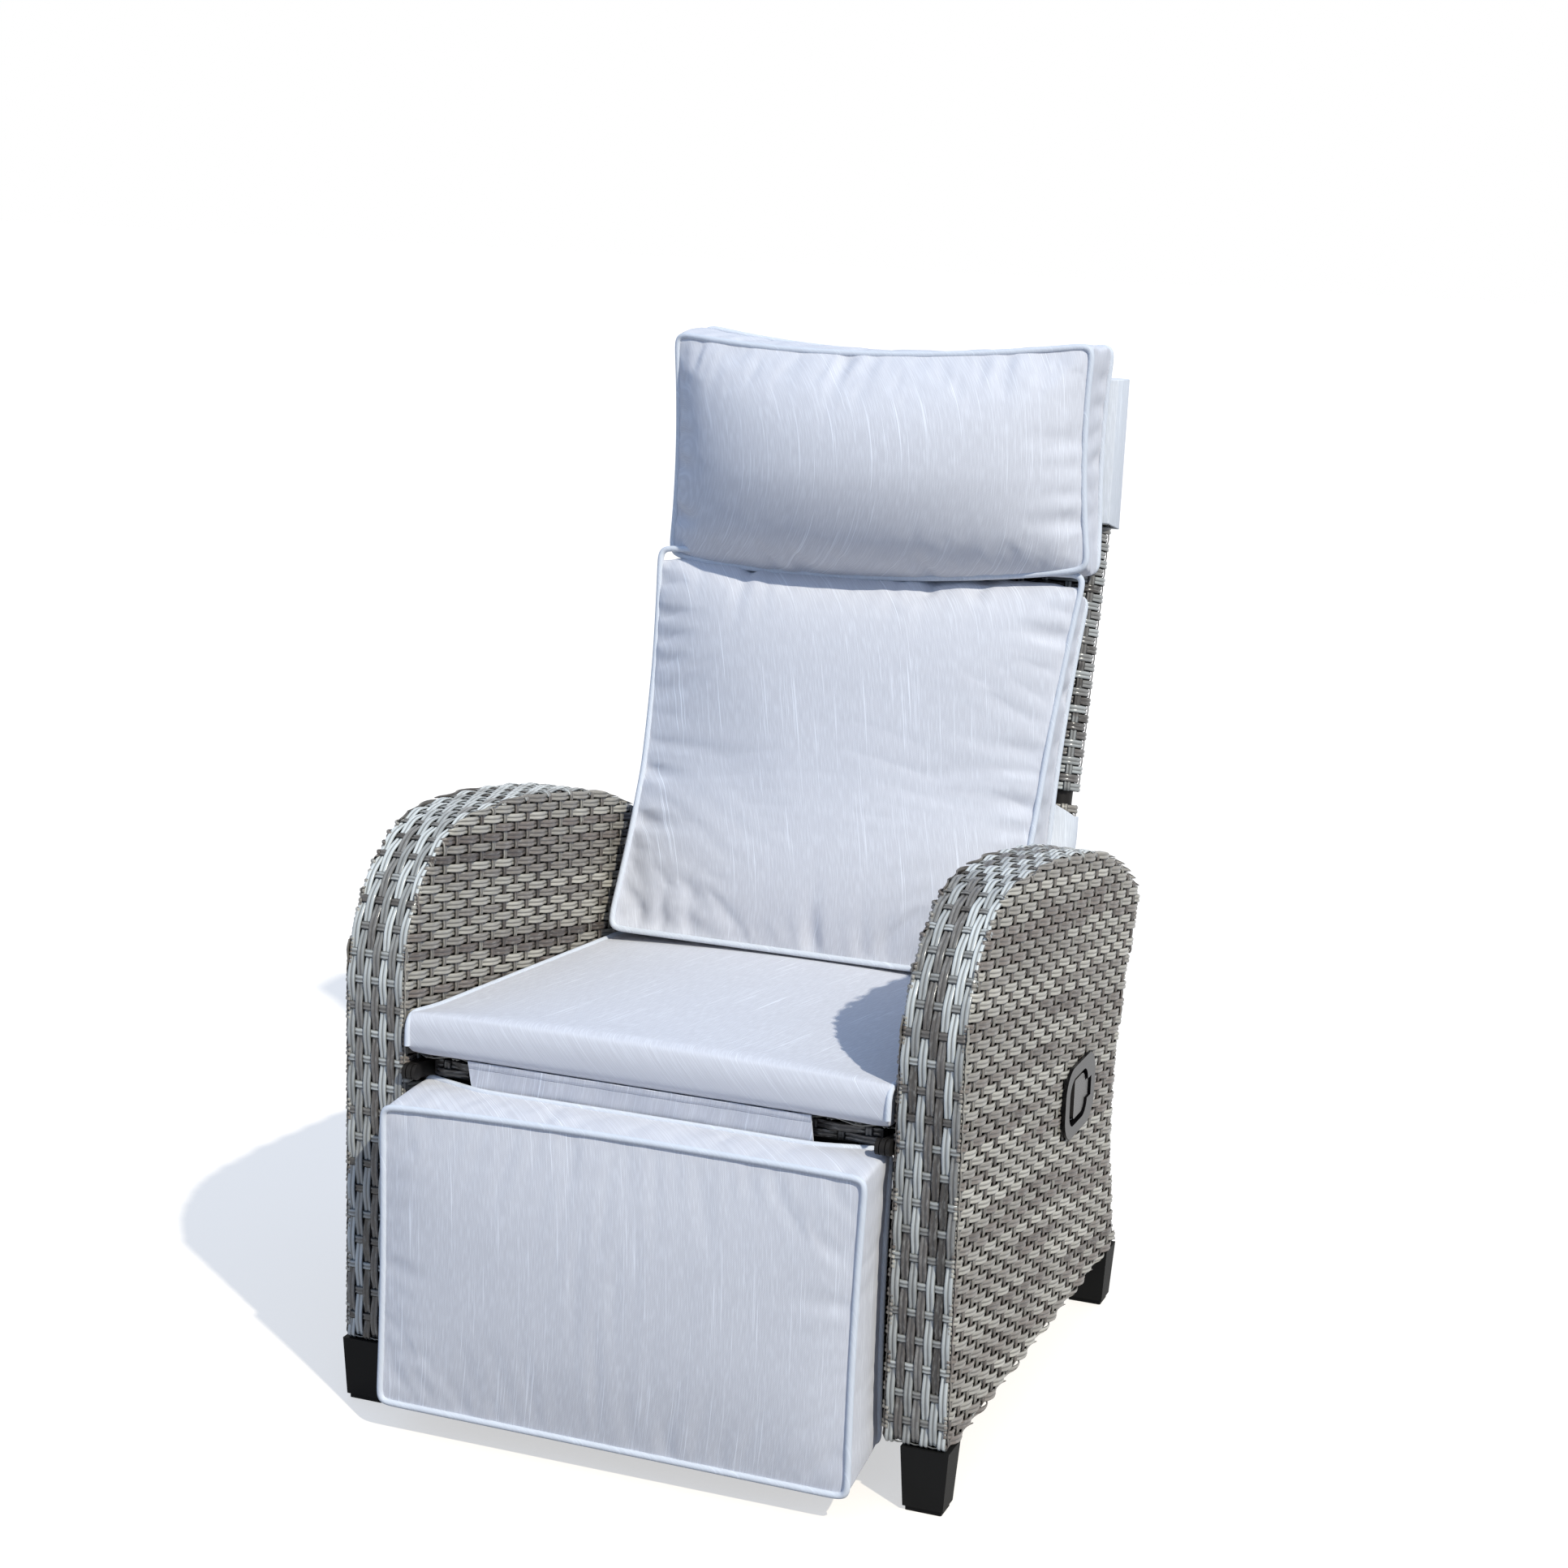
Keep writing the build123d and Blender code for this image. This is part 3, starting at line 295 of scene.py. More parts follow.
slub, given, group_out = group_of(
    "slub_twill", Across=("INPUT", "Float"), Along=("INPUT", "Float"), Ground=("INPUT", "Color"),
    Streak=("INPUT", "Color"), Color=("OUTPUT", "Color"), Height=("OUTPUT", "Float"))


def stretched(across, along, shift, detail):
    """A noise drawn out along the cloth, by its scales across and along."""
    point = xyz(slub, times(slub, given["Across"], across), times(slub, given["Along"], along), shift)
    return noise(slub, point, 1.0, detail)


fine = stretched(720.0, 6.5, 0.0, 2.0)
broad = stretched(90.0, 5.0, 5.0, 2.0)
hairs = stretched(900.0, 60.0, 9.0, 1.0)
streaks = times(slub, between(slub, fine, 0.57, 0.7), between(slub, broad, 0.4, 0.62))
slant = plus(slub, times(slub, given["Across"], 1.6), given["Along"])
twill = calc(slub, "SINE", times(slub, slant, 2 * math.pi / TWILL))
ribs = times(slub, plus(slub, twill, 1.0), 0.045)
ground = blend_colour(slub, ribs, given["Ground"], WHITE)
hair_share = times(slub, between(slub, hairs, 0.4, 0.7), 0.3)
ground = blend_colour(slub, hair_share, ground, given["Streak"])
streaked = blend_colour(slub, times(slub, streaks, 0.95), ground, given["Streak"])
height = plus(slub, times(slub, twill, 0.35), times(slub, streaks, 0.8))
feed_all(slub, group_out, Color=streaked, Height=height)
print("twill group of", len(slub.nodes), "nodes")

# %% [markdown]
# Each cushion material says which way its cloth lies. The piping is cut on the bias, with the blue of
# the shade along its seams painted in, and the hood, which lies in full sun, a little paler.

# %% Cushion cloths
def cloth(name, across_way, along_way, ground=(204, 203, 207), streak=(240, 241, 245)):
    """Cushion cloth whose streaks run along one direction of the piece."""
    material, tree, shader = new_material(name)
    point = object_point(tree)
    sides = []
    for way in (across_way, along_way):
        dot = add(tree, "ShaderNodeVectorMath", operation="DOT_PRODUCT")
        feed(tree, dot, 0, point)
        feed(tree, dot, 1, way)
        sides.append(dot.outputs["Value"])
    weave = add(tree, "ShaderNodeGroup", node_tree=slub)
    feed_all(tree, weave, Across=sides[0], Along=sides[1],
             Ground=screen(*ground), Streak=screen(*streak))
    feed_all(tree, shader, Base_Color=weave.outputs["Color"], Roughness=0.88, Sheen_Weight=0.12,
             Sheen_Roughness=0.5, Specular_IOR_Level=0.25)
    bump(tree, shader, weave.outputs["Height"], 0.35, 0.25 * MM)
    return material


UPRIGHT = ((1, 0.9, 0), (0, 0, 1))
upright_cloth = cloth("upright_cloth", *UPRIGHT)
seat_cloth = cloth("seat_cloth", (1, 0, 0.9), (0, 1, 0.4))
# Painted shade: the piping cloth is a little bluer, for the blue sky shade along the seams.
edge_cloth = cloth("edge_cloth", (0.5, 1, 0.3), (1, 0.2, 1), (206, 210, 216), (230, 234, 240))
hood_cloth = cloth("hood_cloth", *UPRIGHT, (212, 214, 217), (246, 248, 251))
print("cloth materials made")

# %% [markdown]
# The wicker is flat half-round plastic cane, laid in pairs. Each cane changes its grey from run to
# run, so every strand carries its tone as an attribute. Shade is painted into the groove between two
# canes and the dips under a crossing, from a second attribute. Fine lines along the cane come from a
# stretched noise.

# %% Wicker material
def lined_noise(tree, lie, along, across, detail, rough):
    """A noise over the cane's own length and width."""
    point = xyz(tree, times(tree, lie[0], along), times(tree, lie[1], across), lie[2])
    return noise(tree, point, 1.0, detail, rough)


def wicker(name, stops, rough):
    material, tree, shader = new_material(name)
    tone = add(tree, "ShaderNodeAttribute", attribute_name="tone").outputs["Fac"]
    groove = add(tree, "ShaderNodeAttribute", attribute_name="groove").outputs["Fac"]
    ramp = add(tree, "ShaderNodeValToRGB")
    for i, (at, colour) in enumerate(stops):
        stop = ramp.color_ramp.elements[i] if i < 2 else ramp.color_ramp.elements.new(at)
        stop.position, stop.color = at, screen(*colour)
    feed(tree, ramp, 0, tone)
    parts = add(tree, "ShaderNodeSeparateXYZ")
    feed(tree, parts, 0, add(tree, "ShaderNodeAttribute", attribute_name="lie").outputs["Vector"])
    grain = lined_noise(tree, parts.outputs, 55.0, 1500.0, 3.0, 0.6)
    mottle = lined_noise(tree, parts.outputs, 120.0, 400.0, 2.0, 0.5)
    lines = blend_colour(tree, between(tree, grain, 0.35, 0.75), (0.78, 0.77, 0.76, 1), (1.12, 1.12, 1.12, 1))
    colour = blend_colour(tree, 1.0, ramp.outputs[0], lines, "MULTIPLY")
    faded = times(tree, between(tree, mottle, 0.45, 0.8), 0.25)
    colour = blend_colour(tree, faded, colour, (0.62, 0.62, 0.58, 1))
    # Painted shade: the hollows between canes and their low edges are darkened towards near black.
    colour = blend_colour(tree, times(tree, groove, 0.8), colour, (0.035, 0.033, 0.032, 1))
    gloss = plus(tree, times(tree, grain, 0.22), rough - 0.12)
    feed_all(tree, shader, Base_Color=colour, Roughness=gloss, Specular_IOR_Level=0.55)
    bump(tree, shader, grain, 0.25, 0.25 * MM)
    return material


cane = wicker("grey_cane", [
    (0.0, (84, 75, 68)), (1.0, (204, 198, 184)), (0.18, (106, 96, 88)), (0.3, (128, 117, 108)),
    (0.45, (142, 135, 125)), (0.62, (160, 154, 143)), (0.8, (184, 179, 166))], rough=0.38)
band_cane = wicker("smooth_cane", [
    (0.0, (52, 48, 45)), (1.0, (216, 219, 215)), (0.18, (76, 71, 67)), (0.3, (104, 99, 95)),
    (0.45, (130, 128, 124)), (0.62, (158, 160, 157)), (0.8, (190, 193, 190))], rough=0.24)

# %% [markdown]
# Feet, frame, pins and the handle are moulded plastic or painted and plated metal. One maker serves
# them all: a slight change of shade, and a fine grain in the gloss.

# %% Plastic and metal
def plain(name, colour, rough, shine=0.5, metal=0.0):
    material, tree, shader = new_material(name)
    point = object_point(tree)
    coarse, fine = noise(tree, point, 45.0, 3.0), noise(tree, point, 900.0)
    base = screen(*colour)
    dark = tuple(v * 0.88 for v in base[:3]) + (1,)
    feed_all(tree, shader, Base_Color=blend_colour(tree, between(tree, coarse, 0.3, 0.7), dark, base),
             Roughness=plus(tree, times(tree, fine, 0.16), rough - 0.08), Metallic=metal,
             Specular_IOR_Level=shine)
    bump(tree, shader, fine, 0.12, 0.1 * MM)
    return material


matt_plastic = plain("matt_plastic", (24, 24, 24), 0.6, shine=0.1)
# Painted shade: near black and rough, for the sheets that stand in for the shade behind the weave.
dark_lining = plain("dark_lining", (18, 17, 16), 0.9, shine=0.0)
frame_paint = plain("frame_paint", (28, 26, 25), 0.5, shine=0.2)
pin_steel = plain("pin_steel", (168, 168, 168), 0.32, metal=1.0)
plate_gloss = plain("plate_gloss", (15, 14, 15), 0.24, shine=0.18)
paddle_grey = plain("paddle_grey", (52, 49, 47), 0.26, shine=0.3)
rod_steel = plain("rod_steel", (190, 190, 192), 0.18, metal=1.0)
print("wicker, plastic and metal materials made")

# %% [markdown]
# Every piece of the chair is finished by the same few steps: its normals are made to point outward,
# its edges are shaded, and it gets its material, the body that carries it, and the CAD pieces that it
# stands for.

# %% Helpers for pieces
def choose(piece):
    """Makes one object the only selected and active one."""
    bpy.ops.object.select_all(action="DESELECT")
    piece.select_set(True)
    bpy.context.view_layer.objects.active = piece


def recalculate(piece):
    choose(piece)
    bpy.ops.object.mode_set(mode="EDIT")
    bpy.ops.mesh.select_all(action="SELECT")
    bpy.ops.mesh.remove_doubles(threshold=1e-6)
    bpy.ops.mesh.normals_make_consistent(inside=False)
    bpy.ops.object.mode_set(mode="OBJECT")


def shade(piece, angle):
    choose(piece)
    bpy.ops.object.shade_smooth_by_angle(angle=math.radians(angle))


def link(name, mesh):
    piece = bpy.data.objects.new(name, mesh)
    scene.collection.objects.link(piece)
    return piece


def dress(piece, material, body, slot, *stands_for):
    """Material and body of a piece, and the CAD nodes that it stands for. The slot is not used."""
    piece.data.materials.clear()
    piece.data.materials.append(material)
    if body:
        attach(piece, body)
    if stands_for:
        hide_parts(*stands_for)
    return piece


def copy_of(node, name):
    """A free copy of a CAD piece, with clean normals."""
    piece = frame["nodes"][node].copy()
    piece.data = frame["nodes"][node].data.copy()
    piece.name = piece.data.name = name
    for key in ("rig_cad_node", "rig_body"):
        del piece[key]
    piece.parent = None
    scene.collection.objects.link(piece)
    recalculate(piece)
    return piece


def from_curve(name, curve):
    """A piece made of the mesh that a curve gives."""
    shape = link(name, curve)
    bpy.context.view_layer.update()
    mesh = bpy.data.meshes.new_from_object(shape)
    bpy.data.objects.remove(shape)
    return link(name, mesh)


def run_lengths(path):
    """How far along a path each of its points lies."""
    return np.concatenate([[0], np.cumsum(np.linalg.norm(np.diff(path, axis=0), axis=1))])

# %% [markdown]
# Weaving by hand in edit mode would take thousands of pulls, so the strands are made as a loom makes
# them: a small section is pushed along a path that rises over one stake and dips under the next.
# Each strand keeps its tone, its painted groove shade and its own length and width directions as attributes.

# %% Strand maker
PITCH = 28.0 * MM            # from stake to stake
ROW = 9.7 * MM               # from row to row
RISE = 2.35 * MM             # how far a row climbs over a stake
STAKE_RISE = 0.55 * MM
BED = 2.7 * MM               # middle of the weave below its face
# A section lists its corners as across, up (both in mm) and how much painted shade its groove gets there.
ROW_SECTION = ((-4.6, -0.5, 0.9), (-3.5, 0.8, 0.0), (-1.35, 0.8, 0.0), (0.0, -0.25, 1.0),
               (1.35, 0.8, 0.0), (3.5, 0.8, 0.0), (4.6, -0.5, 0.9))
STAKE_SECTION = ((-4.3, -0.4, 0.8), (-2.15, 0.75, 0.0), (0.0, -0.1, 1.0), (2.15, 0.75, 0.0),
                 (4.3, -0.4, 0.8))
TONES = [0.05, 0.22, 0.45, 0.62, 0.85, 0.98]
TONE_ODDS = [0.12, 0.14, 0.17, 0.17, 0.22, 0.18]


class Loom:
    """Collects strands and turns them into one mesh."""

    def __init__(self, seed):
        self.points, self.faces, self.tones, self.grooves, self.lies = [], [], [], [], []
        self.count = 0
        self.dice = np.random.default_rng(seed)

    def strand(self, path, normals, section, tones, closed=False):
        path, normals, shape = (np.array(v, float) for v in (path, normals, section))
        n, m, base = len(path), len(shape), self.count
        run = np.roll(path, -1, 0) - np.roll(path, 1, 0) if closed else np.gradient(path, axis=0)
        run /= np.linalg.norm(run, axis=1)[:, None] + 1e-12
        side = np.cross(run, normals)
        side /= np.linalg.norm(side, axis=1)[:, None] + 1e-12
        up = np.cross(side, run)
        grid = path[:, None] + side[:, None] * shape[:, :1] * MM + up[:, None] * shape[:, 1:2] * MM
        self.points.append(grid.reshape(-1, 3))
        here = np.arange(n if closed else n - 1)[:, None]
        i, k = here * m, (here + 1) % n * m
        j = np.arange(m)[None, :]
        j2 = (j + 1) % m
        self.faces += (np.stack([i + j, i + j2, k + j2, k + j], -1).reshape(-1, 4) + base).tolist()
        if not closed:
            self.faces.append([base + v for v in range(m)][::-1])
            self.faces.append([base + (n - 1) * m + v for v in range(m)])
        self.tones.append(np.repeat(np.array(tones, float), m))
        self.grooves.append(np.tile(shape[:, 2], n))
        patch = np.full(n * m, self.dice.random() * 50)
        self.lies.append(np.stack([np.repeat(run_lengths(path), m), np.tile(shape[:, 0] * MM, n), patch], 1))
        self.count += n * m

    def tone_runs(self, segments, lightness=0.0, spread=1.0):
        """A tone for each segment of a strand, in runs of one to five segments."""
        tones = []
        while len(tones) < segments:
            pick = self.dice.choice(TONES, p=TONE_ODDS)
            pick = 0.5 + (pick - 0.5) * spread + self.dice.normal(0, 0.05)
            value = min(1.0, max(0.0, pick + lightness))
            tones += [value] * int(self.dice.integers(1, 6))
        return np.array(tones[:segments])

    def finish(self, name, material, body, nodes, shift=None):
        mesh = bpy.data.meshes.new(name)
        points = np.concatenate(self.points)
        if shift is not None:
            points = shift(points)
        mesh.from_pydata(points.tolist(), [], self.faces)
        for key, kind, field, values in (("tone", "FLOAT", "value", self.tones),
                                         ("groove", "FLOAT", "value", self.grooves),
                                         ("lie", "FLOAT_VECTOR", "vector", self.lies)):
            attribute = mesh.attributes.new(key, kind, "POINT")
            attribute.data.foreach_set(field, np.concatenate(values).astype(np.float32).ravel())
        mesh.polygons.foreach_set("use_smooth", np.ones(len(mesh.polygons), bool))
        mesh.update()
        print(name, "triangles", sum(len(f) - 2 for f in self.faces))
        return dress(link(name, mesh), material, body, "wicker", *nodes)


# %% [markdown]
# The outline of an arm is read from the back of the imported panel, so the strands always fit. The edges
# that only one triangle of the face uses are its border, and they are chained into loops.

# %% Outline of a flat CAD face
def face_loops(node, x_face):
    """Border loops of the face of a node at that x, as arrays of (y, z)."""
    mesh = frame["nodes"][node].data
    mesh.calc_loop_triangles()
    nodes = np.array([v.co for v in mesh.vertices])
    directed = {}
    for triangle in mesh.loop_triangles:
        corners = [tuple(np.round(nodes[i], 6)) for i in triangle.vertices]
        if all(abs(c[0] - x_face) < 2e-5 for c in corners):
            for a, b in zip(corners, corners[1:] + corners[:1]):
                directed[(a[1:], b[1:])] = True
    border = {a: b for a, b in directed if (b, a) not in directed}
    loops = []
    while border:
        start = next(iter(border))
        loop, here = [], start
        while here in border:
            loop.append(here)
            here = border.pop(here)
        loops.append(np.array(loop))
    return sorted(loops, key=len, reverse=True)


def tidy_loop(loop, step):
    """The loop resampled at an even step, with its outward normals and its length."""
    closed = np.vstack([loop, loop[:1]])
    lengths = run_lengths(closed)
    count = int(round(lengths[-1] / step))
    at = np.arange(count) * lengths[-1] / count
    points = np.stack([np.interp(at, lengths, closed[:, i]) for i in (0, 1)], 1)
    run = np.roll(points, -2, 0) - np.roll(points, 2, 0)
    normals = np.stack([run[:, 1], -run[:, 0]], 1)
    return points, normals / np.linalg.norm(normals, axis=1)[:, None], lengths[-1]


def turned(loops):
    """The loops with the outer one running anticlockwise, and so every normal outward."""
    y, z = loops[0].T
    area = np.sum(y * np.roll(z, -1) - np.roll(y, -1) * z)
    return loops if area > 0 else [loop[::-1] for loop in loops]


plain_loop = turned(face_loops("arm_outer_weave_right", -ARM_BACK))[0]
handled = turned(face_loops("arm_outer_weave_left", ARM_BACK))
print("arm outline of", len(plain_loop), "points; loops with the handle", [len(l) for l in handled])

# %% [markdown]
# On a side of the arm the rows fall ten degrees to the rear and the stakes stand upright. A strand is
# laid between two places where its line crosses the border. These helpers find them, and bring back
# any point that a turned end puts outside.

# %% Crossings with the outline
def crossings(loops, value):
    """Where value(point) changes sign along the loops: place, outward normal and loop number."""
    found = []
    for number, loop in enumerate(loops):
        f = value(loop)
        g = np.roll(f, -1)
        following = np.roll(loop, -1, 0)
        for i in np.nonzero((f < 0) != (g < 0))[0]:
            share = f[i] / (f[i] - g[i])
            run = following[i] - loop[i]
            normal = np.array([run[1], -run[0]]) / (np.linalg.norm(run) + 1e-12)
            found.append((loop[i] + share * run, normal, number))
    return found


def inside(loops, points):
    hits = np.zeros(len(points), int)
    for loop in loops:
        a, b = loop, np.roll(loop, -1, 0)
        for p, q in zip(a, b):
            spans = (p[1] > points[:, 1]) != (q[1] > points[:, 1])
            with np.errstate(divide="ignore", invalid="ignore"):
                where = (q[0] - p[0]) * (points[:, 1] - p[1]) / (q[1] - p[1]) + p[0]
            hits += spans & (points[:, 0] < where)
    return hits % 2 == 1


def pull_in(loop, points):
    """Points outside the loop moved to its nearest place."""
    out = ~inside([loop], points[:, 1:])
    chosen = points[out]
    if not len(chosen):
        return points
    a, b = loop, np.roll(loop, -1, 0)
    run = b - a
    best = np.full(len(chosen), 1e9)
    spot = chosen[:, 1:].copy()
    for p, r in zip(a, run):
        t = np.clip(((chosen[:, 1:] - p) @ r) / (r @ r + 1e-15), 0, 1)
        q = p + t[:, None] * r
        d = np.linalg.norm(chosen[:, 1:] - q, axis=1)
        near = d < best
        best[near], spot[near] = d[near], q[near]
    moved = points.copy()
    moved[out, 1:] = spot
    return moved


print("the arm's middle lies inside its outline:", bool(inside([plain_loop], np.array([[0.0, 0.3]]))[0]))

# %% [markdown]
# Where a row meets the border it turns round the corner in a small loop. Where it meets the border at
# a shallow angle it is trimmed along it instead.

# %% One strand of a side panel
ROW_FALL = math.radians(10)
FALL = math.tan(ROW_FALL)
TURN = 4.6 * MM              # radius of the loops round a corner
HALF_ROW = 4.6 * MM
SHORTEST = 12 * MM           # a strand shorter than this is left out


def laid_strand(start, end, start_open, end_open, x_face, way, height, samples):
    """Path and normals of a strand across the panel, its open ends turned round the corner."""
    length = np.linalg.norm(end - start)
    direction = (end - start) / length
    head, tail = (TURN + BED if is_open else 0.0 for is_open in (start_open, end_open))
    x_mid = x_face - way * BED
    path, normals = [], []

    def turn_corner(at, ahead, turns):
        for turn in turns:
            c, s = math.cos(math.radians(turn)), math.sin(math.radians(turn))
            path.append((x_mid - way * TURN * (1 - c), *(start + direction * (at + ahead * TURN * s))))
            normals.append((way * c, *(direction * s * ahead)))

    if start_open:
        turn_corner(head, -1, (90, 60, 30))
    inner = [s for s in samples if head + 1 * MM < s < length - tail - 1 * MM]
    for s in [head] + inner + [length - tail]:
        path.append((x_mid + way * height(s), *(start + direction * s)))
        normals.append((way, 0, 0))
    if end_open:
        turn_corner(length - tail, 1, (30, 60, 90))
    return np.array(path), normals


def flattened(wave):
    """A wave that stays longer near its crests, as stiff cane does over a stake."""
    return math.copysign(abs(wave) ** 0.7, wave)


def spans(found, along):
    """Crossings sorted along a line and taken two by two."""
    found = sorted(found, key=lambda hit: hit[0] @ along)
    return list(zip(found[::2], found[1::2]))


def stepped(first, last, step):
    """Whole numbers of steps between two places."""
    return np.arange(math.ceil(first / step), math.floor(last / step) + 1)

# %% [markdown]
# The rows go first, then the stakes. Both are cut where they cross the border, and the outer panel of
# the left arm has a second border, round the handle's cup.

# %% Woven side panels
def side_panel(name, node, loops, x_face, way, seed, steps=5):
    loom = Loom(seed)
    low, high = loops[0].min(0), loops[0].max(0)
    row_way = np.array([math.cos(ROW_FALL), -math.sin(ROW_FALL)])
    cosine = row_way[0]
    lift = ROW / math.cos(ROW_FALL)
    first = low[1] + FALL * low[0] - 2 * lift

    def trimmed(slope):
        return row_way * min(30 * MM, HALF_ROW * math.sqrt(1 - slope ** 2) / max(slope, 0.05))

    for k in range(int((high[1] + FALL * high[0] - first) / lift) + 3):
        level = first + k * lift
        hits = crossings(loops, lambda p: p[:, 1] + FALL * p[:, 0] - level)
        for (a, na, la), (b, nb, lb) in spans(hits, row_way):
            slope_a, slope_b = abs(na @ row_way), abs(nb @ row_way)
            open_a, open_b = slope_a > 0.5 and la == 0, slope_b > 0.5 and lb == 0
            if la == 0 and not open_a:
                a = a - trimmed(slope_a)
            if lb == 0 and not open_b:
                b = b + trimmed(slope_b)
            if (b - a) @ row_way < SHORTEST:
                continue
            y0 = a[0]
            samples = (stepped(a[0], b[0], PITCH / steps) * PITCH / steps - y0) / cosine
            height = lambda s: RISE * flattened(math.cos(math.pi * ((y0 + s * cosine) / PITCH + k)))
            path, normals = laid_strand(a, b, open_a, open_b, x_face, way, height, samples)
            segment = np.floor((path[:, 1] / PITCH + k + 1) / 2).astype(int)
            segment -= segment.min()
            band = 0.13 * math.sin(k * 0.9 + 2 * math.sin(k * 0.31))
            tones = loom.tone_runs(segment.max() + 1, band, 0.6)[segment]
            loom.strand(path, normals, ROW_SECTION, tones)
    for j in range(math.ceil((low[0] + 6 * MM) / PITCH), math.floor((high[0] - 6 * MM) / PITCH) + 1):
        y = j * PITCH
        for (a, na, la), (b, nb, lb) in spans(crossings(loops, lambda p: p[:, 0] - y), np.array([0, 1])):
            open_a, open_b = abs(na[1]) > 0.6 and la == 0, abs(nb[1]) > 0.6 and lb == 0
            if b[1] - a[1] < SHORTEST:
                continue
            z0 = a[1]
            row_at = lambda z: (z + FALL * y - first) / lift
            marks = stepped(2 * row_at(z0), 2 * row_at(b[1]), 1) / 2
            samples = first + marks * lift - FALL * y - z0
            height = lambda s: -STAKE_RISE * math.cos(math.pi * (j + row_at(z0 + s)))
            path, normals = laid_strand(a, b, open_a, open_b, x_face, way, height, samples)
            segment = ((path[:, 2] - z0) / (4 * lift)).astype(int)
            segment -= segment.min()
            tones = loom.tone_runs(segment.max() + 1, -0.12, 0.6)[segment]
            loom.strand(path, normals, STAKE_SECTION, tones)
    loom.finish(name, cane, "chair", [node], lambda points: pull_in(loops[0], points))


side_panel("arm_outer_strands_left", "arm_outer_weave_left", handled, ARM_FACE, 1, 11)
side_panel("arm_outer_strands_right", "arm_outer_weave_right", [plain_loop], -ARM_FACE, -1, 12)
side_panel("arm_inner_strands_left", "arm_inner_weave_left", [plain_loop], ARM_INNER, -1, 13)
side_panel("arm_inner_strands_right", "arm_inner_weave_right", [plain_loop], -ARM_INNER, 1, 14)

# %% [markdown]
# The band round an arm has seven pairs of canes along it. Cross pairs pass over and under them, and
# those that end on top turn round the corner onto the side. The path follows the arm's border, so the
# band is one endless loop with a whole, even number of crossings.

# %% Woven bands
BAND_ROWS = 7
BAND_STEP = 9.05 * MM


def arm_band(name, node, way, seed, steps=5):
    loom = Loom(seed)
    points, normals, length = tidy_loop(plain_loop, 1.4 * MM)
    crosses = 2 * int(round(length / PITCH / 2))
    pitch = length / crosses
    smooth = normals.copy()
    for _ in range(3):
        smooth = smooth + np.roll(smooth, 1, 0) + np.roll(smooth, -1, 0)
        smooth /= np.linalg.norm(smooth, axis=1)[:, None]
    count = len(points)
    middle, half = way * (ARM_FACE + ARM_INNER) / 2, (ARM_FACE - ARM_INNER) / 2

    def on_loop(s):
        where = (s / length * count) % count
        i, share = int(where) % count, where - int(where)
        k = (i + 1) % count
        return tuple(v[i] * (1 - share) + v[k] * share for v in (points, smooth))

    def row_x(r):
        return middle + (r - (BAND_ROWS - 1) / 2) * BAND_STEP

    marks = np.arange(crosses * steps) / steps
    for r in range(BAND_ROWS):
        path, upward = [], []
        for mark in marks:
            spot, out = on_loop(mark * pitch)
            path.append((row_x(r), *(spot + out * (0.75 * RISE * math.cos(math.pi * (mark + r)) - BED))))
            upward.append((0, *out))
        segment = np.floor((marks + r + 1) / 2).astype(int)
        own = 0.14 if r in (0, BAND_ROWS - 1) else loom.dice.normal(0.0, 0.1)
        # Painted light: tones rise towards the top of the band, which faces the sun and the sky, and sink a
        # little below it.
        painted_top_light = 0.32 * np.clip((np.array(path)[:, 2] - 0.40) / 0.16, 0, 1) - 0.08
        tones = np.clip(loom.tone_runs(segment.max() + 1, own, 0.9)[segment] + painted_top_light, 0, 1)
        loom.strand(path, upward, ROW_SECTION, tones, closed=True)
    for c in range(crosses):
        spot, out = on_loop(c * pitch)
        out = np.array([0, *out])
        spot = np.array([0, *spot]) - out * BED

        def end(side):
            """The end of a cross pair on one side: turned round the corner, or cut under a row."""
            if c % 2 == 0:
                x = middle + side * (half - BED - 1 * MM)
                return [(np.array([x, 0, 0]) + spot - out * 1.5 * MM, out)]
            turned_end = []
            for turn in (90, 60, 30):
                cosine, sine = math.cos(math.radians(turn)), math.sin(math.radians(turn))
                x = middle + side * (half - BED - TURN + TURN * sine)
                turned_end.append((np.array([x, 0, 0]) + spot - out * TURN * (1 - cosine),
                                   out * cosine + np.array([side * sine, 0, 0])))
            return turned_end

        across = []
        for r in np.arange(2 * BAND_ROWS - 1) / 2:
            rise = -STAKE_RISE * 1.4 * math.cos(math.pi * (c + r))
            across.append((np.array([row_x(r), 0, 0]) + spot + out * rise, out))
        path, upward = zip(*(end(-1) + across + end(1)[::-1]))
        tones = np.interp(np.arange(len(path)), [0, len(path) / 2, len(path)], loom.tone_runs(3, 0.0, 0.8))
        loom.strand(path, upward, STAKE_SECTION, tones)
    loom.finish(name, band_cane, "chair", [node])


arm_band("arm_band_strands_left", "arm_band_weave_left", 1, 21)
arm_band("arm_band_strands_right", "arm_band_weave_right", -1, 22)

# %% [markdown]
# Between the strands one looks into the shaded inside of the arm. That shade is painted: a near-black
# sheet, a few millimetres behind the weave, closes it. A flat curve with the arm's border fills itself,
# and a second loop in it leaves the hole for the handle's cup. Its extrusion gives the sheet its depth.

# %% Painted-shade sheets inside the arms
def shrink(loop, by):
    points, normals, _ = tidy_loop(loop, 4 * MM)
    return points - normals * by


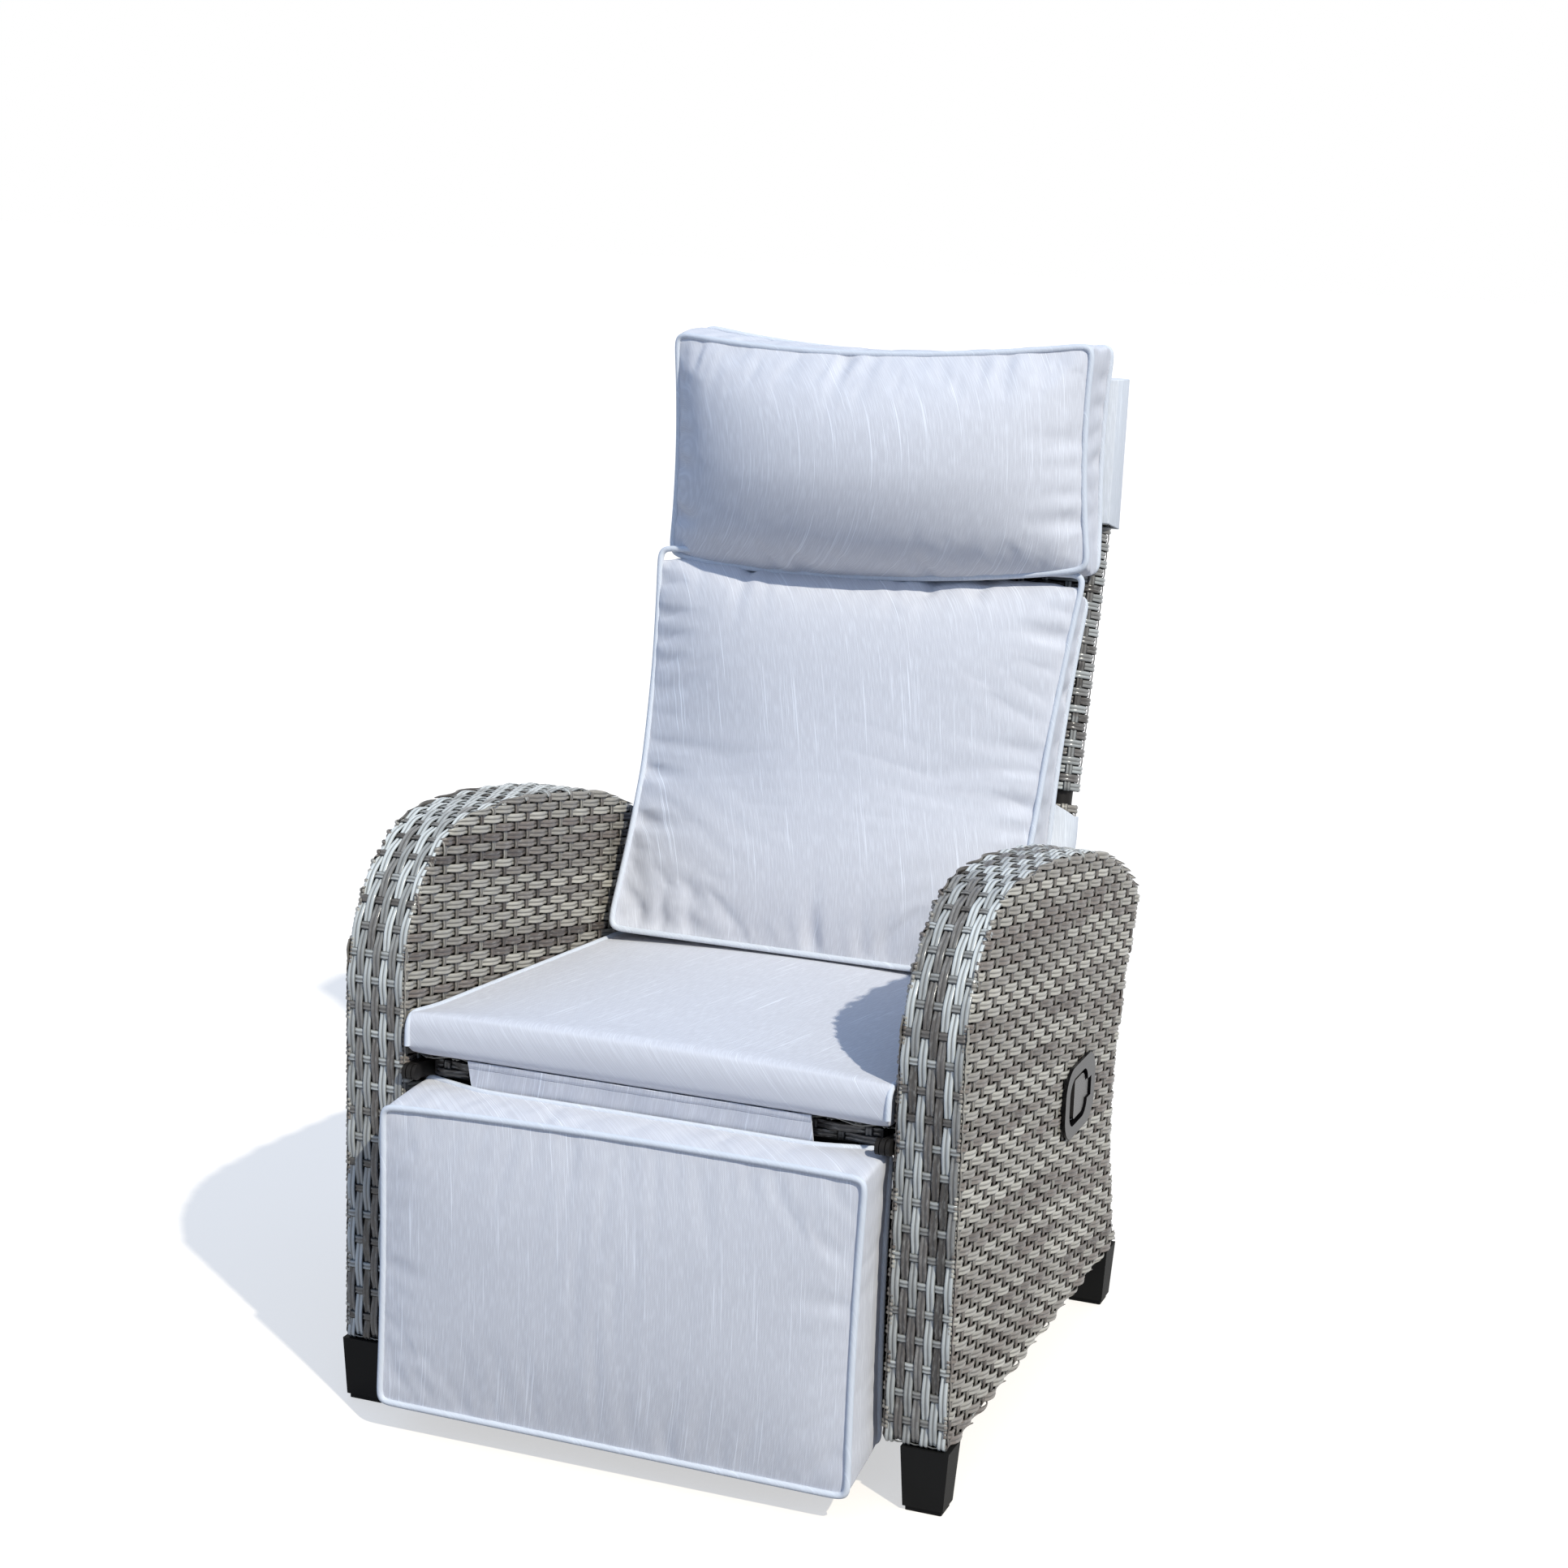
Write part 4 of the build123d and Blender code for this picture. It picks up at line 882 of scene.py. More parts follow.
def shade_sheet(name, loops, x_low, x_high):
    curve = bpy.data.curves.new(name, "CURVE")
    curve.dimensions, curve.fill_mode, curve.extrude = "2D", "BOTH", (x_high - x_low) / 2
    for loop in loops:
        spline = curve.splines.new("POLY")
        spline.points.add(len(loop) - 1)
        flat = np.column_stack([loop, np.zeros(len(loop)), np.ones(len(loop))])
        spline.points.foreach_set("co", flat.ravel())
        spline.use_cyclic_u = True
    piece = from_curve(name, curve)
    piece.data.transform(Matrix([[0, 0, 1, (x_low + x_high) / 2], [1, 0, 0, 0], [0, 1, 0, 0], [0, 0, 0, 1]]))
    dress(piece, dark_lining, "chair", "wicker")


inset = 6.0 * MM
shade_sheet("arm_lining_left", [shrink(handled[0], inset), handled[1]], ARM_INNER + inset, ARM_FACE - inset)
shade_sheet("arm_lining_right", [shrink(plain_loop, inset)], -ARM_FACE + inset, -ARM_INNER - inset)
print("linings made")

# %% [markdown]
# The back leans, and bends a little upright below the head. A place on it is given by its height
# along this bent middle line and by how far round the section it lies. The section is a flat tube
# with round edges.

# %% The back's own directions
BACK_HALF = 255 * MM
BACK_THICK = 44 * MM
LEAN, HEAD_LEAN = math.radians(14.2), math.radians(3.0)
BEND_AT = 570 * MM
back_base = np.array([PIVOT[0] + 11 * MM, PIVOT[1]])


def back_place(u):
    """Middle line of the back at height u, with its upward and rearward directions, as (y, z)."""
    low_up, high_up = (np.array([math.sin(a), math.cos(a)]) for a in (LEAN, HEAD_LEAN))
    up = low_up if u <= BEND_AT else high_up
    spot = back_base + low_up * min(u, BEND_AT) + high_up * max(0.0, u - BEND_AT)
    if abs(u - BEND_AT) < 8 * MM:
        up = (low_up + high_up) / np.linalg.norm(low_up + high_up)
    return spot, up, np.array([up[1], -up[0]])


def stadium(s, half, radius):
    """Point and normal (x, out) on the outline of the back's section, at length s along it."""
    straight, bow = 2 * (half - radius), math.pi * radius
    s = s % (2 * straight + 2 * bow)
    if s < straight:
        return np.array([-straight / 2 + s, -radius]), np.array([0.0, -1.0])
    s -= straight
    if s < bow:
        a = s / radius
        n = np.array([math.sin(a), -math.cos(a)])
        return np.array([straight / 2, 0]) + n * radius, n
    s -= bow
    if s < straight:
        return np.array([straight / 2 - s, radius]), np.array([0.0, 1.0])
    a = (s - straight) / radius
    n = np.array([-math.sin(a), math.cos(a)])
    return np.array([-straight / 2, 0]) + n * radius, n


def back_point(s, u, rise, half=BACK_HALF, thick=BACK_THICK):
    flat, out = stadium(s, half, thick / 2)
    spot, up, rear = back_place(u)
    x, depth = flat + out * (rise - BED)
    yz = spot + rear * depth
    normal = np.array([out[0], *(rear * out[1])])
    return np.array([x, *yz]), normal

print("the back bends at", [round(float(v), 3) for v in back_place(BEND_AT)[0]])

# %% [markdown]
# The back is woven as a tube: every row runs all the way round its two faces and its round edges.
# The stakes follow it upwards, over the bend below the head. A gap between the lower and the upper
# part shows the frame. Above the bend the hood hides the weave, so the rows stop inside it.

# %% Woven back
back_round = 4 * (BACK_HALF - BACK_THICK / 2) + math.pi * BACK_THICK
back_stakes = 2 * int(round(back_round / PITCH / 2))
back_pitch = back_round / back_stakes


def woven_back(name, nodes, u_low, u_high, material, seed, steps=5):
    loom = Loom(seed)
    rows = int((u_high - u_low) / ROW)
    row_step = (u_high - u_low) / rows
    marks = np.arange(back_stakes * steps) / steps
    for k in range(rows):
        u = u_low + (k + 0.5) * row_step
        made = [back_point(m * back_pitch, u, 0.7 * RISE * math.cos(math.pi * (m + k))) for m in marks]
        segment = np.floor((marks + k + 1) / 2).astype(int)
        tones = loom.tone_runs(segment.max() + 1, -0.1, 0.55)[segment]
        loom.strand(*zip(*made), ROW_SECTION, tones, closed=True)
    levels = u_low + np.arange(0, 2 * rows + 1) * row_step / 2
    runs = np.arange(len(levels)) // 6
    for j in range(back_stakes):
        rises = [-STAKE_RISE * math.cos(math.pi * (j + (u - u_low) / row_step - 0.5)) for u in levels]
        made = [back_point(j * back_pitch, u, rise) for u, rise in zip(levels, rises)]
        loom.strand(*zip(*made), STAKE_SECTION, loom.tone_runs(len(levels) // 6 + 2, -0.05, 0.6)[runs])
    loom.finish(name, material, "back", nodes)


woven_back("back_strands_lower", ("back_rear_weave", "back_front_weave"), 18 * MM, 249 * MM, cane, 31)
woven_back("back_strands_upper", ("back_edge_weave_left", "back_edge_weave_right"), 264 * MM, 590 * MM,
           band_cane, 32, steps=4)
print("back woven with", back_stakes, "stakes")

# %% [markdown]
# The back's painted-shade sheets are lofted over rings that follow the same section a little further in.

# %% Painted-shade sheets inside the back
def loft(name, rings, body, smooth=True):
    """A skin of painted shade, near black, over rings with the same number of points, capped at both ends."""
    rings = [np.array(ring, float) for ring in rings]
    m, n = len(rings[0]), len(rings)
    faces = [[i * m + j, i * m + (j + 1) % m, (i + 1) * m + (j + 1) % m, (i + 1) * m + j]
             for i in range(n - 1) for j in range(m)]
    faces += [list(range(m))[::-1], [(n - 1) * m + j for j in range(m)]]
    mesh = bpy.data.meshes.new(name)
    mesh.from_pydata(np.concatenate(rings).tolist(), [], faces)
    piece = link(name, mesh)
    recalculate(piece)
    if smooth:
        shade(piece, 40)
    dress(piece, dark_lining, body, "wicker")


def back_ring(u, depth=5.5 * MM, count=96):
    half, thick = BACK_HALF - depth, BACK_THICK - 2 * depth
    length = 4 * (half - thick / 2) + math.pi * thick
    return [back_point(i * length / count, u, BED, half, thick)[0] for i in range(count)]


loft("back_lining_lower", [back_ring(u * MM) for u in (24, 243)], "back")
loft("back_lining_upper", [back_ring(u * MM) for u in (279, 400, 566, 574, 650, 728)], "back")
print("back lined")

# %% [markdown]
# The panel behind the leg cushion, the deck under the seat and the narrow edge in front of the seat
# are plain rectangles of the same weave. One maker lays them from a corner, a row direction and a
# stake direction.

# %% Maker of flat woven panels
def flat_weave(name, node, corner, row_way, row_length, stake_way, stake_length, normal, body, seed,
               steps=4, tint=0.0, material=cane):
    loom = Loom(seed)
    corner, row_way, stake_way, normal = (np.array(v, float) for v in (corner, row_way, stake_way, normal))
    rows = max(1, int(round(stake_length / ROW)))
    stakes = int(row_length / PITCH)
    step, pitch = stake_length / rows, row_length / stakes
    marks, levels = np.arange(stakes * steps + 1) / steps, np.arange(0, 2 * rows + 1) / 2
    runs = np.arange(len(levels)) // 6
    for k in range(rows):
        rise = RISE * np.cos(np.pi * (marks - 0.5 + k))
        rise[0] = rise[-1] = -RISE
        path = corner + np.outer(marks * pitch, row_way) + (k + 0.5) * step * stake_way
        path = path + np.outer(rise, normal)
        segment = np.floor((marks + k + 0.5) / 2).astype(int)
        tones = loom.tone_runs(segment.max() + 1, tint)[segment]
        loom.strand(path, np.tile(normal, (len(path), 1)), ROW_SECTION, tones)
    for j in range(stakes):
        rise = -STAKE_RISE * np.cos(np.pi * (j + levels - 0.5))
        path = corner + (j + 0.5) * pitch * row_way + np.outer(levels * step, stake_way)
        path = path + np.outer(rise, normal)
        tones = loom.tone_runs(len(levels) // 6 + 2, tint + 0.05)[runs]
        loom.strand(path, np.tile(normal, (len(path), 1)), STAKE_SECTION, tones)
    loom.finish(name, material, body, [node])


def board(name, low, high, body):
    """A cube of painted shade, near black, brought to size in edit mode, with its edges bevelled."""
    bpy.ops.object.select_all(action="DESELECT")
    bpy.ops.mesh.primitive_cube_add(size=1, location=(0, 0, 0))
    piece = bpy.context.active_object
    piece.name = piece.data.name = name
    low, high = Vector(low), Vector(high)
    piece.data.transform(Matrix.Translation((low + high) / 2) @ Matrix.Diagonal((*(high - low), 1)))
    bpy.ops.object.mode_set(mode="EDIT")
    bpy.ops.mesh.select_all(action="SELECT")
    bpy.ops.mesh.bevel(offset=0.4 * MM, segments=2, affect="EDGES")
    bpy.ops.object.mode_set(mode="OBJECT")
    shade(piece, 40)
    dress(piece, dark_lining, body, "wicker")

# %% [markdown]
# The three panels take their corners from the imported pieces. A near-black board or sheet behind each
# fills its gaps with painted shade. The seat's deck falls five degrees to the rear, like the cushion on it.

# %% Leg panel, seat deck and seat edge
X_WAY, Z_WAY = (1, 0, 0), (0, 0, 1)
low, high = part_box("leg_weave")
flat_weave("leg_strands", "leg_weave", (low.x, high.y - BED, low.z), X_WAY, high.x - low.x, Z_WAY,
           high.z - low.z, (0, 1, 0), "leg_rest", 41)
board("leg_panel_lining", low, (high.x, high.y - 5 * MM, high.z), "leg_rest")

DECK_FALL = math.radians(5)
deck_way = np.array((0, math.cos(DECK_FALL), -math.sin(DECK_FALL)))
seat_down = np.array((0, -math.sin(DECK_FALL), -math.cos(DECK_FALL)))
low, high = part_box("seat_weave")
deck_length = (high.y - low.y) / math.cos(DECK_FALL)
top_front = np.array((low.x, low.y, high.z))
flat_weave("seat_deck_strands", "seat_weave", top_front + seat_down * (8 * MM - BED), X_WAY,
           high.x - low.x, deck_way, deck_length, seat_down, "chair", 42, steps=3)
rings = []
for depth in (1 * MM, 3.5 * MM):
    base, over = top_front + seat_down * depth, deck_way * deck_length
    width = np.array([high.x - low.x, 0, 0])
    rings.append([base, base + width, base + width + over, base + over])
loft("seat_deck_lining", rings, "chair", smooth=False)

low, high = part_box("seat_apron_weave")
# Painted shade: the seat's edge lies in shade under the cushion, so its canes take the darkest tones of the
# smooth cane (tint -0.7).
flat_weave("seat_edge_strands", "seat_apron_weave", (low.x, low.y + BED, low.z), X_WAY, high.x - low.x,
           Z_WAY, high.z - low.z, (0, -1, 0), "chair", 43, tint=-0.7, material=band_cane)
board("seat_edge_lining", (low.x, low.y + 4.6 * MM, low.z - 9 * MM),
      (high.x, high.y + 1 * MM, high.z), "chair")

# %% [markdown]
# A cushion starts as its CAD solid, drawn in a little and warped to the pose of the real pillow. Its
# skin is remeshed into even small faces and becomes cloth with air pressure inside. Along the seams
# the cloth is pinned, because a sewn and piped edge keeps its length, and the cloth between them is a
# little too large, so it swells and folds.

# %% Cloth with air inside
def read_points(piece):
    co = np.zeros(len(piece.data.vertices) * 3)
    piece.data.vertices.foreach_get("co", co)
    return co.reshape(-1, 3)


def write_points(piece, co):
    piece.data.vertices.foreach_set("co", co.ravel())
    piece.data.update()


def nearest_on_seam(co, seam):
    """Distance to a seam, length along it and nearest place on it, for every point."""
    seam = np.array(seam, float)
    if np.linalg.norm(seam[0] - seam[-1]) < 25 * MM:
        seam = np.vstack([seam, seam[:1]])
    best, along, spot = np.full(len(co), 1e9), np.zeros(len(co)), co.copy()
    for a, b, start in zip(seam[:-1], seam[1:], run_lengths(seam)[:-1]):
        run = b - a
        t = np.clip((co - a) @ run / (run @ run + 1e-12), 0, 1)
        at = a + t[:, None] * run
        d = np.linalg.norm(co - at, axis=1)
        near = d < best
        best[near], along[near], spot[near] = d[near], (start + t * np.linalg.norm(run))[near], at[near]
    return best, along, spot


def swollen(piece, pins, slack, pressure):
    """Twenty frames of cloth with air inside; returns the new places of the points."""
    group = piece.vertex_groups.new(name="sewn")
    for index in np.nonzero(pins)[0]:
        group.add([int(index)], 1.0, "REPLACE")
    cover = piece.modifiers.new("cover", "CLOTH")
    settings = cover.settings
    settings.quality, settings.mass = 5, 0.3
    settings.vertex_group_mass = "sewn"
    settings.shrink_min = settings.shrink_max = -slack
    settings.use_pressure, settings.uniform_pressure_force = True, pressure
    settings.tension_stiffness = settings.compression_stiffness = 18
    settings.shear_stiffness, settings.bending_stiffness = 6, 1.0
    settings.effector_weights.gravity = 0
    cover.collision_settings.use_collision = False
    cover.point_cache.frame_start, cover.point_cache.frame_end = 1, 20
    for number in range(1, 21):
        scene.frame_set(number)
    choose(piece)
    bpy.ops.object.modifier_apply(modifier="cover")
    scene.frame_set(1)
    return read_points(piece)

# %% [markdown]
# No point may move much further than a cap, and what rests on something stays flat. Short puckers
# that stand square to the seams are added at the end.

# %% Cushion maker
def flat_stop(point, normal):
    """A rule that keeps points behind a plane."""
    point, normal = np.array(point, float), np.array(normal, float)
    normal /= np.linalg.norm(normal)
    return lambda co: co - np.outer(np.maximum((co - point) @ normal, 0), normal)


def puckered(piece, seams, depth, reach, seed):
    """Short folds square to the seams, deepest a finger's width from them."""
    dice = np.random.default_rng(seed)
    co = read_points(piece)
    normals = np.zeros(co.size)
    piece.data.vertices.foreach_get("normal", normals)
    push = np.zeros(len(co))

    def ripple(along, span):
        return np.sin(2 * math.pi * (along / span + dice.random()))

    for seam in seams:
        d, along, _ = nearest_on_seam(co, seam)
        wave = sum(ripple(along, span) / 3 for span in (31 * MM, 47 * MM, 74 * MM))
        patch = 0.5 + 0.5 * ripple(along, 210 * MM)
        push -= depth * patch * np.maximum(wave, -0.2) * (d / reach) * np.exp(1 - d / reach)
    return co + normals.reshape(-1, 3) * push[:, None]


def cushion(name, node, body, material, seams, warp, stops, slack, pressure, cap, pucker, seed):
    """A stuffed piece made from a CAD solid; returns the paths of its seams."""
    voxel = 6 * MM
    piece = copy_of(node, name)
    co = read_points(piece)
    middle, half = (co.min(0) + co.max(0)) / 2, (co.max(0) - co.min(0)) / 2
    inset = 1 - 3 * MM / half
    write_points(piece, middle + (co - middle) * inset)
    choose(piece)
    piece.data.remesh_voxel_size = voxel
    bpy.ops.object.voxel_remesh()
    start = warp(read_points(piece))
    seams = [warp(middle + (np.array(seam, float) - middle) * inset) for seam in seams]
    pins = np.zeros(len(start), bool)
    for seam in seams:
        d, _, spot = nearest_on_seam(start, seam)
        start += (spot - start) * 0.85 * np.exp(-(d / (10 * MM)) ** 2)[:, None]
        pins |= nearest_on_seam(start, seam)[0] < 0.7 * voxel
    write_points(piece, start)
    moved = np.zeros_like(start)
    moved = (swollen(piece, pins, slack, pressure) - start) * (0.4, 1, 1)
    reach = np.linalg.norm(moved, axis=1)
    limit = cap * np.tanh(reach / cap) / (reach + 1e-9)
    write_points(piece, start + moved * limit[:, None])
    co = puckered(piece, seams, pucker, 17 * MM, seed)
    for stop in stops:
        co = stop(co)
    write_points(piece, co)
    finer = piece.modifiers.new("finer", "SUBSURF")
    finer.levels = finer.render_levels = 1
    choose(piece)
    bpy.ops.object.modifier_apply(modifier="finer")
    bpy.ops.object.shade_smooth()
    dress(piece, material, body, "cushion_cloth", node)
    print(name, "faces", len(piece.data.polygons), "moved up to", round(float(reach.max()) * 1000, 1), "mm")
    return seams

# %% [markdown]
# A pose is a shift of the cushion's corners, blended over its face, and a pull on the middle of its
# sides. Seams are rectangles with round corners, drawn on the cushion's front or rear.

# %% Shapes that the cushions share
def share(values, low, high):
    """Where coordinates lie between two sizes in millimetres, from 0 to 1."""
    return np.clip((values / MM - low) / (high - low), 0, 1)


def corner_pull(a, b, *corners):
    """A shift in the plane (x, z), blended over a and b, which run 0 to 1.

    The corners, in millimetres, are low left, low right, high left and high right.
    """
    low_left, low_right, high_left, high_right = (np.array(v, float) * MM for v in corners)
    low = np.outer(1 - a, low_left) + np.outer(a, low_right)
    high = np.outer(1 - a, high_left) + np.outer(a, high_right)
    return low * (1 - b)[:, None] + high * b[:, None]


def bow(t):
    """1 in the middle of a side and 0 at its ends, for t from 0 to 1."""
    return 1 - (2 * np.clip(t, 0, 1) - 1) ** 2


def waist(a, b, depth):
    """A pull of both sides towards the middle, deepest halfway up."""
    return depth * np.sign(2 * a - 1) * np.abs(2 * a - 1) ** 3 * bow(b)


def rounded_rectangle(place_at, half_x, low, high, radius, step=7 * MM):
    """Points round a rectangle with rounded corners; place_at(x, t) gives each in space."""
    right, top, bottom = half_x - radius, high - radius, low + radius
    corners = [(right, bottom, -90), (right, top, 0), (-right, top, 90), (-right, bottom, 180)]

    def on_corner(number, degrees):
        x, t, start = corners[number % 4]
        a = math.radians(start + degrees)
        return x + radius * math.cos(a), t + radius * math.sin(a)

    points = []
    for number in range(4):
        points += [on_corner(number, 15 * i) for i in range(7)]
        begin, end = points[-1], on_corner(number + 1, 0)
        count = max(2, int(math.hypot(end[0] - begin[0], end[1] - begin[1]) / step))
        points += [(begin[0] + (end[0] - begin[0]) * k / count, begin[1] + (end[1] - begin[1]) * k / count)
                   for k in range(1, count)]
    return [place_at(x, t) for x, t in points]

# %% [markdown]
# Piping is a cord sewn into a seam. Its path is the seam, smoothed a few times, and a round bevel on
# a curve gives it its thickness.

# %% Piping
def smooth_path(path, closed, rounds=4):
    path = np.array(path, float)
    for _ in range(rounds):
        if closed:
            path = 0.5 * path + 0.25 * (np.roll(path, 1, 0) + np.roll(path, -1, 0))
        else:
            inner = 0.5 * path[1:-1] + 0.25 * (path[:-2] + path[2:])
            path = np.vstack([path[:1], inner, path[-1:]])
    return path


def piping(name, path, body, radius=3.2 * MM, closed=True):
    path = smooth_path(path, closed)
    curve = bpy.data.curves.new(name, "CURVE")
    curve.dimensions, curve.bevel_depth, curve.bevel_resolution = "3D", radius, 2
    curve.use_fill_caps, curve.resolution_u = True, 2
    spline = curve.splines.new("NURBS")
    spline.points.add(len(path) - 1)
    spline.points.foreach_set("co", np.column_stack([path, np.ones(len(path))]).ravel())
    spline.order_u = 3
    spline.use_cyclic_u, spline.use_endpoint_u = closed, not closed
    piece = from_curve(name, curve)
    recalculate(piece)
    shade(piece, 60)
    dress(piece, edge_cloth, body, "cushion_cloth")


FRONT_CORD = 3.6 * MM        # radius of the thicker piping round a front face

# %% [markdown]
# The leg cushion hangs in front of the chair. Its front face is framed by piping, a second piping
# runs along its rear edge, and the sides between them are plain. Its front edge sags a little.

# %% Leg cushion
LEG = dict(half=256.5, low=49.0, high=360.0, front=-62.0, back=31.7)


def leg_front(x, t):
    return place(x / MM, LEG["front"], t / MM)


def leg_rear(x, t):
    """The rear seam; its upper run is drawn forward to the foot of the flap."""
    on_top = t > LEG["high"] * MM - 1e-6
    drawn = 22 * min(1.0, (LEG["half"] - abs(x / MM)) / 75) if on_top else 0.0
    return place(x / MM, LEG["back"] - drawn, t / MM)


def leg_warp(co):
    a, b = share(co[:, 0], -LEG["half"], LEG["half"]), share(co[:, 2], LEG["low"], LEG["high"])
    front = np.clip((LEG["back"] * MM + FRONT - co[:, 1]) / ((LEG["back"] - LEG["front"]) * MM), 0, 1)
    shift = corner_pull(a, b, (-6, -17), (-1, -20), (-3, -4), (5, 3)) * front[:, None]
    out = co.copy()
    out[:, 0] += shift[:, 0] - waist(a, b, 3 * MM)
    out[:, 2] += shift[:, 1] + 5 * MM * front * bow(a ** 0.8) * b + 4 * MM * (1 - front) * b ** 8
    return out


leg_seams = [rounded_rectangle(way, LEG["half"] * MM, LEG["low"] * MM, LEG["high"] * MM, 9 * MM)
             for way in (leg_front, leg_rear)]
leg_stops = [flat_stop(place(0, 31.5, 200), (0, 1, 0)), flat_stop(place(262, 0, 200), (1, 0, 0)),
             flat_stop(place(-262, 0, 200), (-1, 0, 0)), flat_stop(place(0, 0, 364), (0, 0, 1))]
leg_seams = cushion("leg_cushion_cover", "leg_cushion", "leg_rest", upright_cloth, leg_seams, leg_warp,
                    leg_stops, slack=0.003, pressure=2.0, cap=9 * MM, pucker=2.0 * MM, seed=5)
piping("leg_piping_front", leg_seams[0], "leg_rest", FRONT_CORD)
piping("leg_piping_rear", leg_seams[1], "leg_rest")

# %% [markdown]
# The seat cushion is thin and long. Cloth wraps over its front edge without a seam, so that edge is
# only a firm fold. Its piping follows the two sides.

# %% Seat cushion
SEAT_HALF, SEAT_FRONT, SEAT_LONG, SEAT_THICK, NOSE = 262.0, -6.0, 545, 48.0, 15.0


def deck(y):
    return 391.0 - y * math.tan(DECK_FALL)


def seat_edge(side):
    """The seam along one side: up the front edge, round its nose and back along the top."""
    top = deck(SEAT_FRONT) + SEAT_THICK - 6
    nose = [(SEAT_FRONT + NOSE * (1 - math.cos(a)), top - NOSE * (1 - math.sin(a)))
            for a in (0, 0.4, 0.8, 1.2)]
    front = [(SEAT_FRONT, deck(SEAT_FRONT) + lift) for lift in (9, 16, 23)]
    along = [(y, deck(y) + SEAT_THICK - 6) for y in range(10, SEAT_LONG, 9)]
    return [place(side * SEAT_HALF, y, z) for y, z in front + nose + along]


def seat_warp(co):
    """Makes the front edge squarer than the CAD's, and lifts it a little."""
    y, z = (co[:, 1] - FRONT) / MM, co[:, 2] / MM
    top = deck(y) + SEAT_THICK
    near = np.clip(1 - (y - SEAT_FRONT) / 90, 0, 1)
    high = np.clip((z - top + SEAT_THICK) / SEAT_THICK, 0, 1)
    across, up = (SEAT_FRONT + NOSE - y) / NOSE, (z - top + NOSE) / NOSE
    corner = (across > 0) & (up > 0)
    long = np.maximum(np.hypot(across, up), 1e-6)
    c, s = across / long, up / long
    square = np.where(corner, (np.abs(c) ** 6 + np.abs(s) ** 6 + 1e-9) ** (-1 / 6) - 1, 0)
    out = co.copy()
    out[:, 1] -= across * NOSE * square * MM
    out[:, 2] += up * NOSE * square * MM + 7 * MM * near ** 2 * high
    return out


def above_deck(height):
    return place(0, 0, deck(0) + height)


seat_stops = [flat_stop(point, normal) for point, normal in (
    (above_deck(0.3), seat_down), (place(262.5, 0, 400), (1, 0, 0)), (place(-262.5, 0, 400), (-1, 0, 0)),
    (place(0, SEAT_LONG + 1, 400), (0, 1, 0)), (place(0, -10, 400), (0, -1, 0)),
    (above_deck(SEAT_THICK + 9), -seat_down))]
seat_seams = cushion("seat_cushion_cover", "seat_cushion", "chair", seat_cloth, [seat_edge(-1), seat_edge(1)],
                     seat_warp, seat_stops, slack=0.0, pressure=0.7, cap=4 * MM,
                     pucker=1.0 * MM, seed=6)
piping("seat_piping_right", seat_seams[0], "chair", closed=False)
piping("seat_piping_left", seat_seams[1], "chair", closed=False)

# %% [markdown]
# The back cushion is thick at the seat and thin at its waist. Its corners stand out as small ears and
# its sides are pulled in between them.

# %% Back cushion
BACK = dict(half=242.0, foot=59.7, rise=420.0)
lean_out = (0, math.cos(LEAN), -math.sin(LEAN))


def from_frame(x, u, out):
    """The point so far in front of the back's frame, at height u along it."""
    spot, _, rear = back_place(u)
    return x, *(spot - rear * (BACK_THICK / 2 + 0.3 * MM + out))


def back_front(x, t):
    height = (t / MM - BACK["foot"]) / BACK["rise"]
    return Vector(from_frame(x, t, np.interp(height, [0, 0.2, 0.4, 0.7, 1], [103, 88, 74, 72, 75]) * MM))


def back_rear(x, t):
    return Vector(from_frame(x, t, 0))


def back_warp(co):
    y, z = co[:, 1] - back_base[0], co[:, 2] - back_base[1]
    u = (y * math.sin(LEAN) + z * math.cos(LEAN)) / MM
    ahead = (-y * math.cos(LEAN) + z * math.sin(LEAN)) / MM - 22
    a = share(co[:, 0], -BACK["half"], BACK["half"])
    b = np.clip((u - BACK["foot"]) / BACK["rise"], 0, 1)
    front = np.clip(ahead / 70, 0.3, 1)
    shift = corner_pull(a, b, (-11, 0), (-6, 0), (-15, 15), (20, 27)) * front[:, None]
    full = np.where(b > 0.5, 1 - np.abs(2 * b - 1) ** 7, bow(b))
    dome = 22 * MM * (1 - np.abs(2 * a - 1) ** 3) * full * np.clip(ahead / 60, 0, 1)
    out = co.copy()
    out[:, 0] += shift[:, 0] - waist(a, b, 9 * MM)
    out[:, 1] -= dome * math.cos(LEAN)
    out[:, 2] += shift[:, 1] + dome * math.sin(LEAN)
    return out


back_seams = [rounded_rectangle(way, BACK["half"] * MM, (BACK["foot"] + lift) * MM,
                                (BACK["foot"] + BACK["rise"]) * MM, 10 * MM)
              for way, lift in ((back_front, -19), (back_rear, 6))]
back_stops = [flat_stop(from_frame(0, 100 * MM, 0), lean_out),
              flat_stop(above_deck(SEAT_THICK + 3.5), seat_down)]
back_seams = cushion("back_cushion_cover", "back_cushion", "back", upright_cloth, back_seams, back_warp,
                     back_stops, slack=0.008, pressure=4.0, cap=18 * MM, pucker=7.0 * MM, seed=7)
piping("back_piping_front", back_seams[0], "back", FRONT_CORD)
piping("back_piping_rear", back_seams[1], "back")

# %% [markdown]
# The head cushion is a full pillow: it hangs over the top of the back cushion, its upper seam sags,
# and one lower corner is pinched up. Its rear follows the bend of the back.

# %% Head cushion
HEAD = dict(half=252.0, low=825.0, high=1092.0, sag=12)
KNEE_Y, KNEE_Z = 587 + 570 * math.sin(LEAN) - 26, 334 + 570 * math.cos(LEAN)


